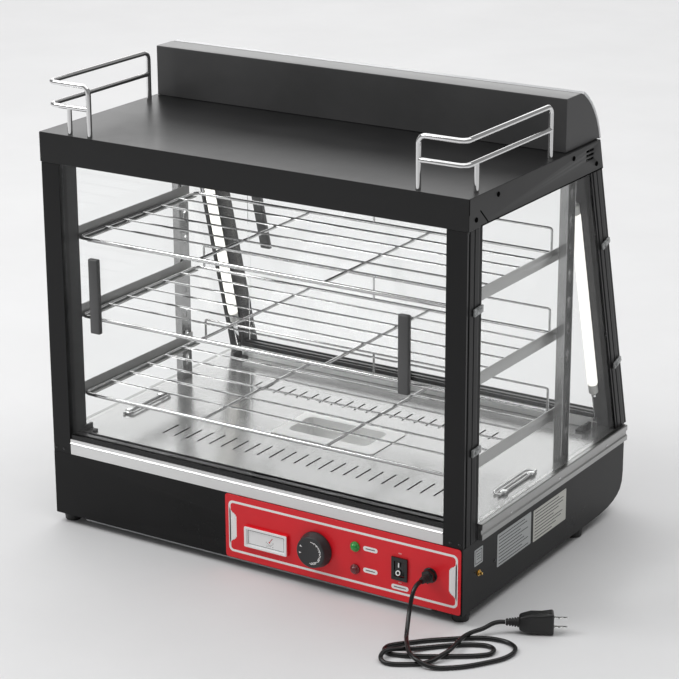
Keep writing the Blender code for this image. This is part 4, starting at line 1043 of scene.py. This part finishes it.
def notch_line(shift):
    """The inner contour of the left end patch, from its top to its foot, moved in by a shift."""
    middle = 0.049
    upper = [(PATCH_EDGE + out - shift, middle + up - shift * 0.5) for out, up in HALF_NOTCH]
    lower = [(u, 2 * middle - v) for u, v in reversed(upper)]
    return upper + lower


def mirrored(outline):
    return [(0.6526 - (u - 0.3000), v) for u, v in outline]


def patches():
    left = notch_line(0.0004)
    return left, mirrored(left)


def notches():
    """White lines along the patches' inner contours."""
    line = notch_line(0) + [(max(u, PATCH_EDGE - 0.0005), v) for u, v in reversed(notch_line(0.0021))]
    return line, mirrored(line)


def make_thermometer():
    """A slim rectangular thermometer: bright bezel, recessed pale face, faint scale and pointer."""
    x, z = 0.361, 0.0405
    half_wide, half_high = 0.034, 0.0145
    front, back = -0.0066, PANEL_FACE

    def frame_line(in_x, in_z, radius):
        return rounded(x - half_wide + in_x, z - half_high + in_z,
                       x + half_wide - in_x, z + half_high - in_z, radius)

    shape = bmesh.new()
    outer, rim = frame_line(0, 0, 0.0016), frame_line(0.0036, 0.0032, 0.0008)
    ring(shape, outer, rim, "xz", front, back)
    round_off(shape, [e for e in shape.edges if e.calc_face_angle(0) > 1.0], 0.0005)
    piece("thermometer_bezel", shape, BEZEL, replaces=["thermometer"])
    shape = bmesh.new()
    ring(shape, frame_line(-0.0008, -0.0008, 0.0020), outer, "xz", -0.0052, back)
    piece("thermometer_sleeve", shape, RED)
    shape = bmesh.new()
    prism(shape, frame_line(0.0030, 0.0026, 0.0008), "xz", -0.0040, back)
    piece("thermometer_face", shape, DIAL)
    shape = bmesh.new()
    ring(shape, frame_line(0.0052, 0.0046, 0.0006), frame_line(0.0057, 0.0051, 0.0006), "xz",
         -0.00408, -0.0040)
    for i in range(7):
        angle = math.radians(205 + i * 22)
        tick = Vector((math.cos(angle), math.sin(angle)))
        across = Vector((-tick.y, tick.x)) * 0.00028
        hub = Vector((x + 0.0060, z + 0.0010))
        start, end = hub + tick * 0.0052, hub + tick * 0.0068
        prism(shape, [tuple(start - across), tuple(end - across), tuple(end + across),
                      tuple(start + across)], "xz",
              -0.00408, -0.0040)
    for i in range(4):
        lettering(shape, str(i * 3), 0.0026,
                  (x + 0.0015 + i * 0.0031, -0.00405, z - 0.0072 + 0.0006 * (i % 3)))
    piece("thermometer_scale", shape, INK)
    shape = bmesh.new()
    prism(shape, [(x + 0.0052, z - 0.0008), (x + 0.0060, z - 0.0011), (x + 0.0108, z + 0.0052),
                  (x + 0.0100, z + 0.0056)], "xz", -0.00425, -0.0041)
    disc(shape, (x + 0.0056, -0.0041, z - 0.0010), (0, -1, 0), 0.0011, 0.0003, 16)
    piece("thermometer_pointer", shape, NEEDLE_RED)


def make_knob():
    """A moulded knob with a skirt, printed round its right and lower side with the numbers 1 to 9."""
    x, z = 0.439, 0.046
    shape = bmesh.new()
    turned(shape, [(0, 0.0158), (0.0186, 0.0158), (0.0196, 0.0162), (0.0206, 0.0161), (0.0214, 0.0154),
                   (0.0219, 0.0143), (0.0226, 0.0095), (0.0238, 0.0072), (0.0246, 0.0052), (0.0250, 0.0036),
                   (0.0250, 0.0025), (0.0030, 0.0025), (0.0030, -0.0150), (0, -0.0150)],
           (x, 0, z), (0, -1, 0), 64)
    piece("knob_body", shape, KNOB, "knob", ["thermostat_knob"])
    shape = bmesh.new()
    for i in range(9):
        lettering(shape, str(i + 1), 0.0078, (x, -0.01585, z), turn=math.radians(78 - i * 20.5),
                  at_radius=0.0152)
    for angle in (156, 190):
        tip = math.radians(angle)
        out, across = Vector((math.cos(tip), math.sin(tip))), Vector((-math.sin(tip), math.cos(tip)))
        corners = [out * 0.0140 + across * 0.0001, out * 0.0176 + across * 0.0013,
                   out * 0.0176 - across * 0.0013]
        prism(shape, [(x + c.x, z + c.y) for c in corners], "xz", -0.0159, -0.0158)
    piece("knob_numbers", shape, WHITE_PRINT, "knob")


def make_pilots():
    for name, skin, x, z in (("green", GREEN, 0.500, 0.064), ("red", DARK_RED, 0.500, 0.032)):
        shape = bmesh.new()
        turned(shape, [(0, 0.0088), (0.0016, 0.0086), (0.0030, 0.0080), (0.0043, 0.0070), (0.0051, 0.0058),
                       (0.0055, 0.0046),
                       (0.0056, 0.0040), (0.0066, 0.0038), (0.0070, 0.0032), (0.0070, 0.0014), (0, 0.0014)],
               (x, 0, z), (0, -1, 0), 36)
        piece(f"pilot_{name}_lens", shape, skin, replaces=[f"pilot_light_{name}"])


def make_switch():
    softened("rocker_frame", GLOSS_PLASTIC, 0.0005)
    softened("rocker_button", GLOSS_PLASTIC, 0.0005, "rocker")
    dress("thermostat_body", PLASTIC)
    tilt = math.radians(-9.0)                 # the upper half is pressed in at rest
    pivot = at(0.568, 0.0024, 0.048)
    shape = bmesh.new()
    for upper in (True, False):
        lean = math.atan2(0.0014, 0.0094) * (1 if upper else -1)
        flat = bmesh.new()
        if upper:
            block(flat, (0.5671, -0.0063, 0.0502), (0.5689, -0.0061, 0.0564))
        else:
            ring(flat, arc(0.568, 0.0427, 0.0036, 0, 345, 23), arc(0.568, 0.0427, 0.0021, 0, 345, 23), "xz",
                 -0.0063,
                 -0.0061)
        start = len(shape.verts)
        mesh = bpy.data.meshes.new("mark")
        flat.to_mesh(mesh)
        flat.free()
        shape.from_mesh(mesh)
        bpy.data.meshes.remove(mesh)
        shape.verts.ensure_lookup_table()
        corner = at(0.568, -0.0050, 0.048)
        place = Matrix.Translation(pivot) @ Matrix.Rotation(tilt, 4, "X") @ Matrix.Translation(-pivot) \
            @ Matrix.Translation(corner) @ Matrix.Rotation(lean, 4, "X") \
            @ Matrix.Translation(Vector((0, 0.0010, 0)) - corner)
        bmesh.ops.transform(shape, matrix=place, verts=shape.verts[start:])
    piece("rocker_symbols", shape, WHITE_PRINT, "rocker")


def make_gland():
    """A hexagon nut with a washer, and the tapered strain relief that the cord leaves by."""
    x, z = 0.613, 0.050
    shape = bmesh.new()
    disc(shape, (x, PANEL_FACE, z), (0, -1, 0), 0.0104, 0.0012, 32, 0.0004)
    disc(shape, (x, PANEL_FACE - 0.0012, z), (0, -1, 0), 0.0097, 0.0068, 6, 0.0010)
    piece("gland_nut", shape, GLOSS_PLASTIC, replaces=["cord_gland"], sharp=30)
    shape = bmesh.new()
    turned(shape, [(0, 0.0240), (0.0033, 0.0240), (0.0039, 0.0236), (0.0043, 0.0226), (0.0045, 0.0205),
                   (0.0041, 0.0200),
                   (0.0041, 0.0192), (0.0049, 0.0187), (0.0051, 0.0168), (0.0046, 0.0163), (0.0046, 0.0155),
                   (0.0055, 0.0150), (0.0058, 0.0128), (0.0052, 0.0122), (0.0052, 0.0114), (0.0064, 0.0106),
                   (0.0068, 0.0092), (0.0074, 0.0088), (0.0074, 0.0060), (0, 0.0060)],
           (x, 0, z), (0, -1, 0), 32)
    piece("gland_strain_relief", shape, RUBBER)


# ---------------------------------------------------------------- assembly
make_camera()
make_cord()
make_gland()
make_studio()
make_base()
make_side_fittings()
make_posts()
make_doors()
make_top()
make_guard_rail("guard_rail_right", 0.651, 0.585, (0.651, 0.036))
make_guard_rail("guard_rail_left", 0.012, 0.078, (0.045, 0.009))
for tier_name, tier_height in SHELVES.items():
    make_shelf(tier_name, tier_height)
make_shelf_fittings()
make_lamp("left")
make_lamp("right")
make_deck_clips()
make_painted_slot_shade()
make_panel()
make_thermometer()
make_knob()
make_pilots()
make_switch()
